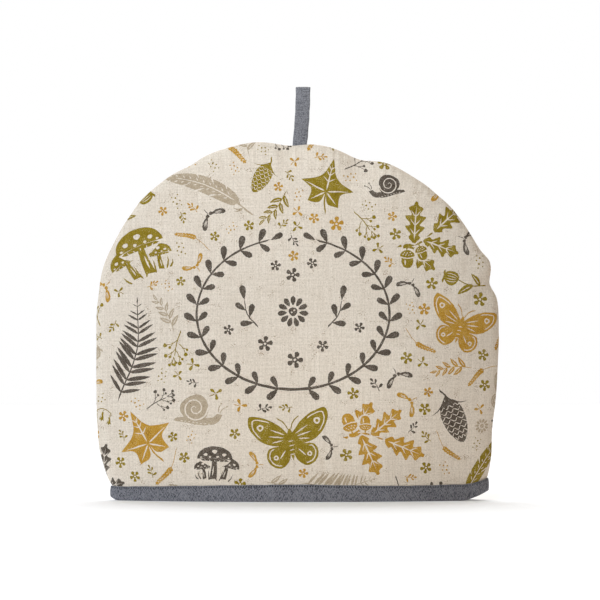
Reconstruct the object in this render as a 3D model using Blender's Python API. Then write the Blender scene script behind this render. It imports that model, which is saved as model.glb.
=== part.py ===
"""Padded tea cosy with a bound hem and a hanging loop.

Two padded dome-shaped panels are sewn together round their curved edge and open
out at the hem, so the cosy stands up hollow. A folded binding closes the hem of
both, and a doubled tape is caught in the seam at the top.

Metres, +Z up. X runs across the cosy, the front faces -Y, and the origin is on
the surface, under the middle of the hem.
"""
import bmesh
import bpy
import numpy as np

MM = 0.001

# The panels
SEAM_GAP = 0.3 * MM          # between the two panels where they are sewn together
SEAM_ALLOWANCE = 9 * MM      # depth of the edge over which they lie flat together
SEAM_VALLEY = 1.8 * MM       # the seam lies this far below the puffed edges
VALLEY_SPREAD = 3 * MM       # how far from the seam the edge is drawn down
CAVITY = 38 * MM             # from the seam's plane to the inside of a panel, at the hem
CAVITY_FULLNESS = 0.9        # power of the falling-off to the seam: 1 is a plain fall
HEM_ROUNDNESS = 2.2          # how evenly the opening keeps its depth along the hem
TOP_ROUNDNESS = 1.35         # and going up, where the two panels lean together
PADDING = 6.5 * MM           # cloth, wadding and lining of one panel
EDGE_ROUND = 11 * MM         # the wadding reaches full thickness this far from the seam
EDGE_BLUNTNESS = 2.4         # power of the puffed edge: 2 is an arc
SPOKES = 84                  # steps along the curved edge
RINGS = 17                   # steps from the middle of the hem out to the edge
CROWDING = 0.86              # how closely the rings gather at the edge
WELD = 0.001 * MM

# The binding
BINDING_HEIGHT = 13.5 * MM
BINDING_CLOTH = 1.3 * MM     # bias strip with its turned-in edge
FIT_GAP = 0.3 * MM           # between the binding and the panels it holds
FOLD_GAP = 0.7 * MM          # between the binding's fold and the panels' raw edge
HEM_SQUEEZE = 0.45           # share of the wadding pressed out at the hem
SQUEEZE_REACH = 18 * MM      # how far above the binding the wadding has swelled again
TIP_DRAW = 3.5               # the inner leg is drawn back this much more at the sharp ends
HEM_EDGE_ROUND = 1.1 * MM    # rounding of the lower fold

# The hanging loop
LOOP_WIDTH = 12.6 * MM
LOOP_CLOTH = 1.4 * MM
LOOP_ACROSS = 1.7 * MM       # middle of the tape at the seam
LOOP_TOP = 360 * MM
LOOP_LEAN = 3.0 * MM         # sideways lean of its fold
LOOP_TAIL = 9.0 * MM         # length over which both ends lie together
LOOP_SEAT = 5.0 * MM         # depth to which they go down between the panels
LOOP_EYE = 4.0 * MM          # half the width of the eye at its widest
TEARDROP_POWER = 2.0
TEARDROP_PEAK = 0.65         # widest value of the teardrop's formula
LEAN_POWER = 2.0             # how early it leans: 1 is evenly all the way up
LOOP_STEPS = 28

# The curved edge of the cosy, from the right end of the binding's upper edge over
# the top to the left end, in millimetres.
EDGE_COLUMNS = ("across", "up")
EDGE = (
    (165.0, 13.5),
    (169.6, 32.0),
    (170.8, 60.0),
    (174.0, 90.0),
    (175.6, 120.0),
    (176.3, 150.0),
    (174.5, 177.0),
    (171.6, 187.0),
    (170.4, 193.0),
    (170.8, 202.0),
    (159.2, 220.0),
    (143.5, 244.5),
    (125.5, 266.0),
    (104.0, 281.0),
    (79.5, 294.5),
    (48.5, 302.8),
    (18.0, 310.8),
    (-11.0, 311.5),
    (-38.0, 313.0),
    (-64.5, 307.2),
    (-94.5, 294.6),
    (-120.5, 277.0),
    (-143.0, 256.0),
    (-158.8, 229.0),
    (-170.8, 202.5),
    (-175.8, 173.0),
    (-176.4, 140.0),
    (-176.6, 104.0),
    (-176.0, 70.0),
    (-173.0, 41.0),
    (-168.3, 26.5),
    (-161.7, 13.5),
)

# Puckers, where the seam was drawn tight: their bearing from the middle of the
# hem in degrees, then depth, half width along the edge and reach inwards in mm.
PUCKER_COLUMNS = ("bearing", "depth", "half_width", "inwards")
PUCKERS = (
    (46.7, 3.6, 9.0, 32.0),
    (64.0, 1.4, 11.0, 30.0),
    (79.0, 3.4, 15.0, 42.0),
    (91.0, 1.3, 12.0, 22.0),
    (108.8, 2.0, 12.0, 34.0),
    (121.5, 1.2, 12.0, 30.0),
    (136.0, 0.9, 14.0, 40.0),
)
PUCKER_TROUGH = 0.8          # depth of the trough in the panel, as a share of the dent

# Where the ends of the hem curl up off the surface: the side, then in mm where the
# rise starts and ends across, its height and where it has died away, and its power.
CURL_COLUMNS = ("side", "start", "end", "height", "fade", "power")
CURLS = (
    (1, 143.0, 168.0, 9.5, 120.0, 1.5),
    (-1, 155.0, 163.5, 3.4, 22.0, 2.0),
)

# Broad soft rises and hollows of each panel's wadding, in millimetres.
RISE_COLUMNS = ("across", "up", "height", "radius")
FRONT_RISES = (
    (-92.0, 88.0, 1.6, 55.0),
    (28.0, 62.0, -1.3, 48.0),
    (104.0, 120.0, 1.4, 50.0),
    (-40.0, 196.0, 1.2, 60.0),
    (88.0, 208.0, -1.2, 40.0),
    (-118.0, 190.0, -1.0, 38.0),
)
BACK_RISES = (
    (84.0, 92.0, 1.5, 58.0),
    (-20.0, 70.0, -1.2, 50.0),
    (-100.0, 132.0, 1.3, 48.0),
    (34.0, 204.0, 1.3, 60.0),
    (-82.0, 214.0, -1.1, 42.0),
)


def table(rows, columns):
    """The rows as one array for each named column."""
    return dict(zip(columns, np.array(rows).T))


def smooth_through(stations, values, where):
    """Cubic curve through the values: each slope is that of the neighbours on both sides."""
    slopes = np.gradient(values, stations)
    cell = np.clip(np.searchsorted(stations, where) - 1, 0, len(stations) - 2)
    span = stations[cell + 1] - stations[cell]
    t = (where - stations[cell]) / span
    return (
        (2 * t**3 - 3 * t**2 + 1) * values[cell]
        + (t**3 - 2 * t**2 + t) * span * slopes[cell]
        + (3 * t**2 - 2 * t**3) * values[cell + 1]
        + (t**3 - t**2) * span * slopes[cell + 1]
    )


def edge_reach(bearing):
    """Distance from the middle of the hem to the puffed edge at a bearing, in metres."""
    edge = table(EDGE, EDGE_COLUMNS)
    across = edge["across"] * MM
    up = edge["up"] * MM - BINDING_HEIGHT
    return smooth_through(np.arctan2(up, across), np.hypot(across, up), bearing)


def pucker_pull(bearing, edge_distance):
    """How far the puckers draw a point in: a bell along the edge that dies away inwards."""
    pull = np.zeros_like(bearing)
    for row in PUCKERS:
        pucker = dict(zip(PUCKER_COLUMNS, row))
        along = (bearing - np.radians(pucker["bearing"])) * edge_reach(bearing)
        bell = np.exp(-((along / (pucker["half_width"] * MM)) ** 2))
        pull += pucker["depth"] * MM * bell * np.exp(-edge_distance / (pucker["inwards"] * MM))
    return pull


def rise_height(rises, across, up):
    """Sum of the broad bells of a panel's uneven wadding."""
    height = np.zeros_like(across)
    for row in rises:
        rise = dict(zip(RISE_COLUMNS, row))
        gap = np.hypot(across - rise["across"] * MM, up - rise["up"] * MM)
        height += rise["height"] * MM * np.exp(-((gap / (rise["radius"] * MM)) ** 2))
    return height


def curled(points):
    """Lift the ends of the hem: a rise outwards along X that dies away upwards."""
    across, up = points[..., 0], points[..., 2]
    lifted = points.copy()
    for row in CURLS:
        curl = dict(zip(CURL_COLUMNS, row))
        start, end = curl["start"] * MM, curl["end"] * MM
        share = np.clip((curl["side"] * across - start) / (end - start), 0, None)
        fade = np.clip(1 - up / (curl["fade"] * MM), 0, 1) ** 2
        lifted[..., 2] += curl["height"] * MM * share ** curl["power"] * fade
    return lifted


def fan():
    """Bearing and share of the reach of each grid point: spokes from the middle of the
    hem, and rings that gather at the edge, w + k sin(pi w) / pi."""
    even = np.linspace(0, 1, RINGS + 1)
    share = even + CROWDING * np.sin(np.pi * even) / np.pi
    return np.meshgrid(np.linspace(0, np.pi, SPOKES + 1), share)


def panel_face(outside, rises):
    """Grid of one face of a panel, seen as the back one: the y of the inside is the
    opened cavity, (1 - r^p)^q, and the outside adds the wadding with its puffed edge."""
    bearing, share = fan()
    full_reach = edge_reach(bearing)
    edge_distance = (1 - share) * full_reach
    roundness = TOP_ROUNDNESS + (HEM_ROUNDNESS - TOP_ROUNDNESS) * np.cos(bearing) ** 2
    depth = CAVITY * (1 - share**roundness) ** CAVITY_FULLNESS
    pull = share * pucker_pull(bearing, edge_distance)
    if outside:
        above_binding = share * full_reach * np.sin(bearing)
        squeeze = HEM_SQUEEZE * np.exp(-((above_binding / SQUEEZE_REACH) ** 2))
        inset = np.clip(1 - edge_distance / EDGE_ROUND, 0, 1)
        puffed = (1 - inset**EDGE_BLUNTNESS) ** (1 / EDGE_BLUNTNESS)
        wadding = PADDING * puffed * (1 - squeeze)
        depth += wadding
        valley = SEAM_VALLEY * np.exp(-((wadding / VALLEY_SPREAD) ** 2))
        reach = share * full_reach - valley * (1 - squeeze / HEM_SQUEEZE)
        relief = rise_height(rises, reach * np.cos(bearing), reach * np.sin(bearing))
        depth += puffed * (relief * (1 - squeeze / HEM_SQUEEZE) - PUCKER_TROUGH * pull)
    else:
        reach = share * (full_reach - SEAM_ALLOWANCE)
    reach = reach - pull
    return np.stack(
        [
            reach * np.cos(bearing),
            depth + SEAM_GAP / 2,
            BINDING_HEIGHT + reach * np.sin(bearing),
        ],
        axis=-1,
    )


def hem_line(face):
    """The grid's straight lower edge: in along its last spoke and out along its first."""
    return np.concatenate([face[::-1, -1], face[1:, 0]])


def lowered(line):
    """The same line at the panels' raw edge, which the binding's fold covers."""
    raw_edge = line.copy()
    raw_edge[:, 2] = BINDING_CLOTH + FOLD_GAP
    return raw_edge


def make_object(name, patches, colour, roughness):
    """One named solid with its own material: grids of points welded along their edges."""
    form = bmesh.new()
    for patch in patches:
        rows, columns = patch.shape[:2]
        corners = [form.verts.new(point) for point in patch.reshape(-1, 3).tolist()]
        for row in range(rows - 1):
            for column in range(columns - 1):
                first = row * columns + column
                after = first + columns
                quad = (first, first + 1, after + 1, after)
                form.faces.new([corners[k] for k in quad])
    bmesh.ops.remove_doubles(form, verts=form.verts, dist=WELD)
    bmesh.ops.recalc_face_normals(form, faces=form.faces)
    bmesh.ops.triangulate(form, faces=form.faces)
    mesh = bpy.data.meshes.new(name)
    form.to_mesh(mesh)
    form.free()
    mesh.shade_smooth()
    mesh.set_sharp_from_angle(angle=np.radians(50))
    material = bpy.data.materials.new(name + "_cloth")
    material.use_nodes = True
    shader = material.node_tree.nodes["Principled BSDF"]
    shader.inputs["Base Color"].default_value = (*colour, 1)
    shader.inputs["Roughness"].default_value = roughness
    shader.inputs["Metallic"].default_value = 0
    mesh.materials.append(material)
    solid = bpy.data.objects.new(name, mesh)
    bpy.context.collection.objects.link(solid)
    return solid


def panel(name, side, rises):
    """A padded panel: its outer and inner faces, the flat band along the seam, and the
    straight collar that the binding grips. side is -1 for the front, 1 for the back."""
    outer = panel_face(True, rises)
    inner = panel_face(False, rises)
    outer_hem = hem_line(outer)
    inner_hem = hem_line(inner)
    hem_rim = np.stack([lowered(outer_hem), outer_hem, inner_hem, lowered(inner_hem)])
    patches = (
        outer,
        inner,
        np.stack([outer[-1], inner[-1]]),
        hem_rim[:2],
        hem_rim[2:],
        hem_rim[[0, 3]],
        hem_rim[:, 0][[[0, 1], [3, 2]]],
        hem_rim[:, -1][[[0, 1], [3, 2]]],
    )
    sided = [curled(patch) * (1, side, 1) for patch in patches]
    return make_object(name, sided, (0.66, 0.6, 0.51), 0.9)


def hem_loop(outside):
    """The closed line of the panels' hem in plan: along the front, then back."""
    front = hem_line(panel_face(outside, FRONT_RISES))[:, :2] * (1, -1)
    back = hem_line(panel_face(outside, BACK_RISES))[::-1, :2]
    front[[0, -1], 1] = 0
    return np.concatenate([front, back[1:-1]])


def spread_loop(loop, distance):
    """Move a closed line outwards, keeping each side at the distance: mitred corners."""
    ahead = np.roll(loop, -1, axis=0) - loop
    ahead /= np.linalg.norm(ahead, axis=1, keepdims=True)
    outward = np.stack([ahead[:, 1], -ahead[:, 0]], -1)
    mitre = outward + np.roll(outward, 1, axis=0)
    mitre /= np.linalg.norm(mitre, axis=1, keepdims=True)
    lengthening = np.sum(mitre * outward, axis=1, keepdims=True)
    return loop + mitre * distance / lengthening


def shrink_loop(loop, distance):
    """Draw the lens-shaped inner line in: evenly at its middle, further at its tips."""
    half = np.max(np.abs(loop), axis=0)
    return loop * (1 - distance * np.array([TIP_DRAW, 1.1]) / half)


def binding():
    """The binding: its folded section, set out from the hem's outer and inner lines."""
    outer_line = hem_loop(True)
    inner_line = hem_loop(False)
    near = FIT_GAP
    far = FIT_GAP + BINDING_CLOTH
    middle = (near + far) / 2
    turn = 0.4 * BINDING_CLOTH
    top = BINDING_HEIGHT - 0.2 * MM
    section = (
        (spread_loop(outer_line, far), HEM_EDGE_ROUND),
        (spread_loop(outer_line, far), top - turn),
        (spread_loop(outer_line, middle), top),
        (spread_loop(outer_line, near), top - turn),
        (spread_loop(outer_line, near), BINDING_CLOTH),
        (shrink_loop(inner_line, near), BINDING_CLOTH),
        (shrink_loop(inner_line, near), top - turn),
        (shrink_loop(inner_line, middle), top),
        (shrink_loop(inner_line, far), top - turn),
        (shrink_loop(inner_line, far), HEM_EDGE_ROUND),
        (shrink_loop(inner_line, middle), 0),
        (spread_loop(outer_line, middle), 0),
    )
    rings = [np.column_stack([line, np.full(len(line), up)]) for line, up in section]
    folded = curled(np.stack(rings + rings[:1]))
    closed = np.concatenate([folded, folded[:, :1]], axis=1)
    return make_object("hem_binding", [closed], (0.13, 0.135, 0.15), 0.85)


def seam_top():
    """Height of the seam's valley under the loop."""
    reach = edge_reach(np.array([np.pi / 2]))
    pull = pucker_pull(np.array([np.pi / 2]), np.zeros(1))
    return float(BINDING_HEIGHT + reach[0] - pull[0] - SEAM_VALLEY)


def hanging_loop():
    """The doubled tape: its section in Y and Z is a teardrop eye, y = a sin t sin^m(t/2)
    and z = (1 - cos t) / 2, the cloth's thickness outside it, and the tail below."""
    foot = seam_top() - LOOP_SEAT
    eye_foot = foot + LOOP_TAIL
    eye_height = LOOP_TOP - LOOP_CLOTH - eye_foot
    t = np.linspace(0, 2 * np.pi, LOOP_STEPS + 1)
    swell = LOOP_EYE / TEARDROP_PEAK
    eye = np.column_stack(
        [
            -swell * np.sin(t) * np.sin(t / 2) ** TEARDROP_POWER,
            eye_foot + eye_height * (1 - np.cos(t)) / 2,
        ]
    )
    ahead = np.gradient(eye, axis=0)
    ahead[0] = (0, 1)
    ahead[-1] = (0, -1)
    ahead /= np.linalg.norm(ahead, axis=1, keepdims=True)
    skin = eye + LOOP_CLOTH * np.column_stack([-ahead[:, 1], ahead[:, 0]])
    tail = np.array([[0, foot], [0, foot + LOOP_SEAT]])
    offset = np.array([LOOP_CLOTH, 0])
    strip = np.stack(
        [
            np.concatenate([tail, eye, tail[::-1]]),
            np.concatenate([tail - offset, skin, tail[::-1] + offset]),
        ]
    )
    height_share = np.clip((strip[..., 1] - seam_top()) / (LOOP_TOP - seam_top()), 0, 1)
    lean = LOOP_LEAN * (1 - (1 - height_share) ** LEAN_POWER)
    sides = [
        np.concatenate([(LOOP_ACROSS + edge + lean)[..., None], strip], axis=-1)
        for edge in (-LOOP_WIDTH / 2, LOOP_WIDTH / 2)
    ]
    faces = np.stack(sides)
    patches = (
        faces[0],
        faces[1],
        faces[:, 1],
        faces[:, 0, len(tail) : -len(tail)],
        faces[:, :, 0],
        faces[:, :, -1],
    )
    return make_object("hanging_loop", patches, (0.17, 0.175, 0.19), 0.85)


def loop_slot():
    """Cutter for the slot between the panels that the loop's ends go down into."""
    half_width = LOOP_WIDTH / 2 + FIT_GAP
    half_depth = LOOP_CLOTH + FIT_GAP
    low = seam_top() - LOOP_SEAT - FIT_GAP
    across = LOOP_ACROSS + half_width * np.array([-1, 1, 1, -1, -1])
    along = half_depth * np.array([-1, -1, 1, 1, -1])
    wall = np.stack([np.column_stack([across, along, np.full(5, up)]) for up in (low, LOOP_TOP)])
    lids = wall[:, [[0, 1], [3, 2]]]
    cutter = make_object("loop_slot_cutter", [wall, lids[0], lids[1]], (1, 1, 1), 1)
    cutter.hide_render = True
    cutter.display_type = "WIRE"
    return cutter


for old in list(bpy.data.objects):
    bpy.data.objects.remove(old, do_unlink=True)

front = panel("panel_front", -1, FRONT_RISES)
back = panel("panel_back", 1, BACK_RISES)
binding()
hanging_loop()
slot = loop_slot()
for sewn in (front, back):
    cut = sewn.modifiers.new("loop_slot", "BOOLEAN")
    cut.operation = "DIFFERENCE"
    cut.solver = "EXACT"
    cut.object = slot
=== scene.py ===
"""A padded tea cosy: two printed panels, a hanging loop and a bound hem."""

import bpy
import numpy as np
from mathutils.geometry import delaunay_2d_cdt
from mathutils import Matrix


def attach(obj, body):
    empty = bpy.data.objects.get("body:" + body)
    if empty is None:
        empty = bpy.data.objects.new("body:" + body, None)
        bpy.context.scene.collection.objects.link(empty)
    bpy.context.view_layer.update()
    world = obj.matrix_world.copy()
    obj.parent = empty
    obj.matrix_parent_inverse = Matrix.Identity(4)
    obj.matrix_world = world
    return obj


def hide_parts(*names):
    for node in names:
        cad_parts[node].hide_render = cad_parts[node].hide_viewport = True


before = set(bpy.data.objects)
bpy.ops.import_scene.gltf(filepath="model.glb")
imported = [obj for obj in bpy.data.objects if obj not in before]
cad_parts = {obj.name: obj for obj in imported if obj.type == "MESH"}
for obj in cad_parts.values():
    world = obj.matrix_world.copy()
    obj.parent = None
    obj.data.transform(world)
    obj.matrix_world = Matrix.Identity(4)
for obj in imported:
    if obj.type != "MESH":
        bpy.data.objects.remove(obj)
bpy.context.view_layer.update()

# ----------------------------------------------------------------------------------
# The form of the two panels. Each is a dome of printed linen and cotton over wadding
# and lining. They are sewn together round the curved edge and turned right side out,
# so the edge puffs on both sides of a narrow valley, and puckers where it was drawn.
# ----------------------------------------------------------------------------------
MM = 0.001
SEAM_GAP = 0.3 * MM          # between the two panels where they are sewn together
SEAM_ALLOWANCE = 9 * MM      # depth of the edge over which they lie flat together
SEAM_VALLEY = 1.8 * MM       # the seam lies this far below the puffed edges
VALLEY_SPREAD = 3 * MM
CAVITY = 38 * MM             # from the seam's plane to the inside of a panel, at the hem
CAVITY_FULLNESS = 0.9
HEM_ROUNDNESS = 2.2
TOP_ROUNDNESS = 1.35
PADDING = 6.5 * MM
EDGE_ROUND = 11 * MM         # the wadding reaches full thickness this far from the seam
EDGE_BLUNTNESS = 2.4
BINDING_HEIGHT = 13.5 * MM
HEM_SQUEEZE = 0.45           # share of the wadding pressed out at the hem
SQUEEZE_REACH = 18 * MM
PUCKER_TROUGH = 0.8
GATHER_DEPTH = 0.22 * MM     # small gathers that the seam's stitches draw in
GATHER_PITCH = 11 * MM
GATHER_REACH = 16 * MM
RIPPLE_DEPTH = 0.4 * MM      # ripples that the binding's stitches draw in
RIPPLE_PITCH = 15 * MM
RIPPLE_REACH = 14 * MM

# The curved edge, from the right end of the binding's upper edge over the top to the
# left end, in millimetres.
EDGE = (
    (165.0, 13.5), (169.6, 32.0), (170.8, 60.0), (174.0, 90.0), (175.6, 120.0),
    (176.3, 150.0), (174.5, 177.0), (171.6, 187.0), (170.4, 193.0), (170.8, 202.0),
    (159.2, 220.0), (143.5, 244.5), (125.5, 266.0), (104.0, 281.0), (79.5, 294.5),
    (48.5, 302.8), (18.0, 310.8), (-11.0, 311.5), (-38.0, 313.0), (-64.5, 307.2),
    (-94.5, 294.6), (-120.5, 277.0), (-143.0, 256.0), (-158.8, 229.0), (-170.8, 202.5),
    (-175.8, 173.0), (-176.4, 140.0), (-176.6, 104.0), (-176.0, 70.0), (-173.0, 41.0),
    (-168.3, 26.5), (-161.7, 13.5),
)
# Puckers in the seam: bearing from the hem's middle in degrees, then the depth, the
# half width and how far inwards it dies away, in mm.
PUCKERS = (
    (46.7, 3.6, 9.0, 32.0), (64.0, 1.4, 11.0, 30.0), (79.0, 3.4, 15.0, 42.0),
    (91.0, 1.3, 12.0, 22.0), (108.8, 2.0, 12.0, 34.0), (121.5, 1.2, 12.0, 30.0),
    (136.0, 0.9, 14.0, 40.0),
)
# Ends of the hem that curl up: side, then the start and end across, the height and
# where it has faded away in mm, and the power of the rise.
CURLS = ((1, 143.0, 168.0, 9.5, 120.0, 1.5), (-1, 155.0, 163.5, 3.4, 22.0, 2.0))
# The binding was fed unevenly under the needle, so its upper edge wanders: place across
# and how much higher it is there, in mm.
WANDER = (
    (-172.0, -1.4), (-150.0, -1.1), (-112.0, -0.3), (-76.0, 0.6), (-40.0, 1.2), (2.0, 1.7),
    (46.0, 0.9), (90.0, 0.3), (122.0, 0.6), (142.0, 0.9), (160.0, -0.4), (174.0, -0.2),
)
WANDER_UP = 15 * MM
# Broad rises and hollows of the wadding: middle across and up, height and radius, in mm.
FRONT_RISES = (
    (-92.0, 88.0, 1.6, 55.0), (28.0, 62.0, -1.3, 48.0), (104.0, 120.0, 1.4, 50.0),
    (-40.0, 196.0, 1.2, 60.0), (88.0, 208.0, -1.2, 40.0), (-118.0, 190.0, -1.0, 38.0),
)
BACK_RISES = (
    (84.0, 92.0, 1.5, 58.0), (-20.0, 70.0, -1.2, 50.0), (-100.0, 132.0, 1.3, 48.0),
    (34.0, 204.0, 1.3, 60.0), (-82.0, 214.0, -1.1, 42.0),
)
# Soft creases in the cloth, each a trough between two places on it: from across and up,
# to across and up, depth and half width, in mm.
FRONT_CREASES = (
    (131.0, 205.0, 104.0, 176.0, 0.55, 5.0),
    (138.0, 176.0, 112.0, 168.0, 0.40, 4.5),
    (52.0, 284.0, 43.0, 243.0, 0.50, 5.0),
    (66.0, 279.0, 66.0, 248.0, 0.35, 4.0),
    (-96.0, 268.0, -80.0, 240.0, 0.40, 5.0),
    (-10.0, 296.0, -14.0, 266.0, 0.35, 4.5),
    (150.0, 24.0, 120.0, 40.0, 0.50, 6.0),
    (-150.0, 30.0, -122.0, 44.0, 0.40, 6.0),
    (-165.0, 120.0, -132.0, 112.0, 0.30, 6.0),
    (160.0, 92.0, 128.0, 80.0, 0.30, 6.0),
)
BACK_CREASES = (
    (-128.0, 208.0, -100.0, 180.0, 0.50, 5.0),
    (-58.0, 283.0, -48.0, 244.0, 0.45, 5.0),
    (92.0, 268.0, 76.0, 238.0, 0.40, 5.0),
    (20.0, 292.0, 16.0, 262.0, 0.35, 4.5),
    (148.0, 30.0, 118.0, 42.0, 0.45, 6.0),
    (-150.0, 26.0, -118.0, 46.0, 0.45, 6.0),
)


def smooth_through(stations, values, where):
    """Cubic curve through the values: each slope is that of the neighbours on both sides."""
    slopes = np.gradient(values, stations)
    cell = np.clip(np.searchsorted(stations, where) - 1, 0, len(stations) - 2)
    span = stations[cell + 1] - stations[cell]
    t = (where - stations[cell]) / span
    return (
        (2 * t**3 - 3 * t**2 + 1) * values[cell]
        + (t**3 - 2 * t**2 + t) * span * slopes[cell]
        + (3 * t**2 - 2 * t**3) * values[cell + 1]
        + (t**3 - t**2) * span * slopes[cell + 1]
    )


def way_along(line):
    """Distance along a line to each of its points."""
    return np.concatenate([[0], np.cumsum(np.linalg.norm(np.diff(line, axis=0), axis=1))])


def places_on(line, way, where):
    """Places on a line, from the distance along it to its points and to the places."""
    return np.stack([np.interp(where, way, line[:, k]) for k in (0, 1)], -1)


def unit(ways):
    """Each way with a length of one."""
    return ways / np.linalg.norm(ways, axis=-1, keepdims=True)


def edge_reach(bearing):
    """Distance from the middle of the hem to the puffed edge at a bearing, in metres."""
    across, up = np.array(EDGE).T * MM
    up = up - BINDING_HEIGHT
    return smooth_through(np.arctan2(up, across), np.hypot(across, up), bearing)


def pucker_pull(bearing, edge_distance):
    """How far the puckers draw a point in: a bell along the edge that dies away inwards."""
    pull = np.zeros_like(bearing)
    for at, depth, half_width, inwards in PUCKERS:
        along = (bearing - np.radians(at)) * edge_reach(bearing)
        bell = np.exp(-((along / (half_width * MM)) ** 2))
        pull += depth * MM * bell * np.exp(-edge_distance / (inwards * MM))
    return pull


def rise_height(rises, across, up):
    """Sum of the broad bells of a panel's uneven wadding."""
    total = np.zeros_like(across)
    for middle_across, middle_up, height, radius in rises:
        gap = np.hypot(across - middle_across * MM, up - middle_up * MM)
        total += height * MM * np.exp(-((gap / (radius * MM)) ** 2))
    return total


def crease_depth(creases, across, up):
    """Sum of the troughs: each a bell of the distance to its line, deepest at a third
    of its length and gone at its ends."""
    total = np.zeros_like(across)
    for from_across, from_up, to_across, to_up, depth, half_width in creases:
        start = np.array([from_across, from_up]) * MM
        run = np.array([to_across, to_up]) * MM - start
        length = np.hypot(*run)
        ahead = ((across - start[0]) * run[0] + (up - start[1]) * run[1]) / length**2
        aside = ((up - start[1]) * run[0] - (across - start[0]) * run[1]) / length
        t = np.clip(ahead, 0, 1)
        swell = 2.6 * np.sqrt(t) * (1 - t) ** 1.5
        gap = np.hypot(aside, np.abs(ahead - t) * length) / (half_width * MM)
        total += depth * MM * swell * np.exp(-(gap**2))
    return total


def curled(points):
    """Lift the ends of the hem, a rise outwards along X that dies away upwards, and let
    the binding's upper edge wander, a rise that grows and fades as z exp(1 - z)."""
    across, up = points[..., 0], points[..., 2]
    lifted = points.copy()
    station, rise = np.array(WANDER).T * MM
    share = np.clip(up, 0, None) / WANDER_UP
    lifted[..., 2] += smooth_through(station, rise, across) * share * np.exp(1 - share)
    for side, start, end, height, fade, power in CURLS:
        share = np.clip((side * across - start * MM) / (end * MM - start * MM), 0, None)
        fading = np.clip(1 - up / (fade * MM), 0, 1) ** 2
        lifted[..., 2] += height * MM * share**power * fading
    return lifted


def panel_face(bearing, share, outside, side, rises, creases):
    """Points of one face of a panel at bearings from the hem's middle and shares of the
    way to the seam. The inside is the opened cavity, (1 - r^p)^q deep. The outside adds
    the wadding with its puffed edge, less the puckers, creases, gathers and ripples."""
    full_reach = edge_reach(bearing)
    edge_distance = (1 - share) * full_reach
    roundness = TOP_ROUNDNESS + (HEM_ROUNDNESS - TOP_ROUNDNESS) * np.cos(bearing) ** 2
    depth = CAVITY * (1 - share**roundness) ** CAVITY_FULLNESS
    pull = share * pucker_pull(bearing, edge_distance)
    if outside:
        above_binding = share * full_reach * np.sin(bearing)
        squeeze = HEM_SQUEEZE * np.exp(-((above_binding / SQUEEZE_REACH) ** 2))
        free = 1 - squeeze / HEM_SQUEEZE
        inset = np.clip(1 - edge_distance / EDGE_ROUND, 0, 1)
        puffed = (1 - inset**EDGE_BLUNTNESS) ** (1 / EDGE_BLUNTNESS)
        wadding = PADDING * puffed * (1 - squeeze)
        valley = SEAM_VALLEY * np.exp(-((wadding / VALLEY_SPREAD) ** 2))
        reach = share * full_reach - valley * free
        across, up = reach * np.cos(bearing), reach * np.sin(bearing)
        way_round = 2 * np.pi * bearing * full_reach
        gathers = np.sin(way_round / GATHER_PITCH + 1.7 * np.sin(way_round / (4.3 * GATHER_PITCH)))
        gathers *= GATHER_DEPTH * np.exp(-((edge_distance - 0.4 * EDGE_ROUND) / GATHER_REACH) ** 2)
        way_over = 2 * np.pi * across / RIPPLE_PITCH
        ripples = np.sin(way_over + 1.4 * np.sin(way_over / 3.7 + side))
        ripples *= RIPPLE_DEPTH * free * np.exp(-((up / RIPPLE_REACH - 0.8) ** 2))
        relief = free * (rise_height(rises, across, up) - crease_depth(creases, across, up))
        depth += wadding + puffed * (relief + ripples - PUCKER_TROUGH * pull - free * gathers)
    else:
        reach = share * (full_reach - SEAM_ALLOWANCE)
    reach = reach - pull
    up = BINDING_HEIGHT + reach * np.sin(bearing)
    return np.stack([reach * np.cos(bearing), side * (depth + SEAM_GAP / 2), up], -1)


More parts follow.
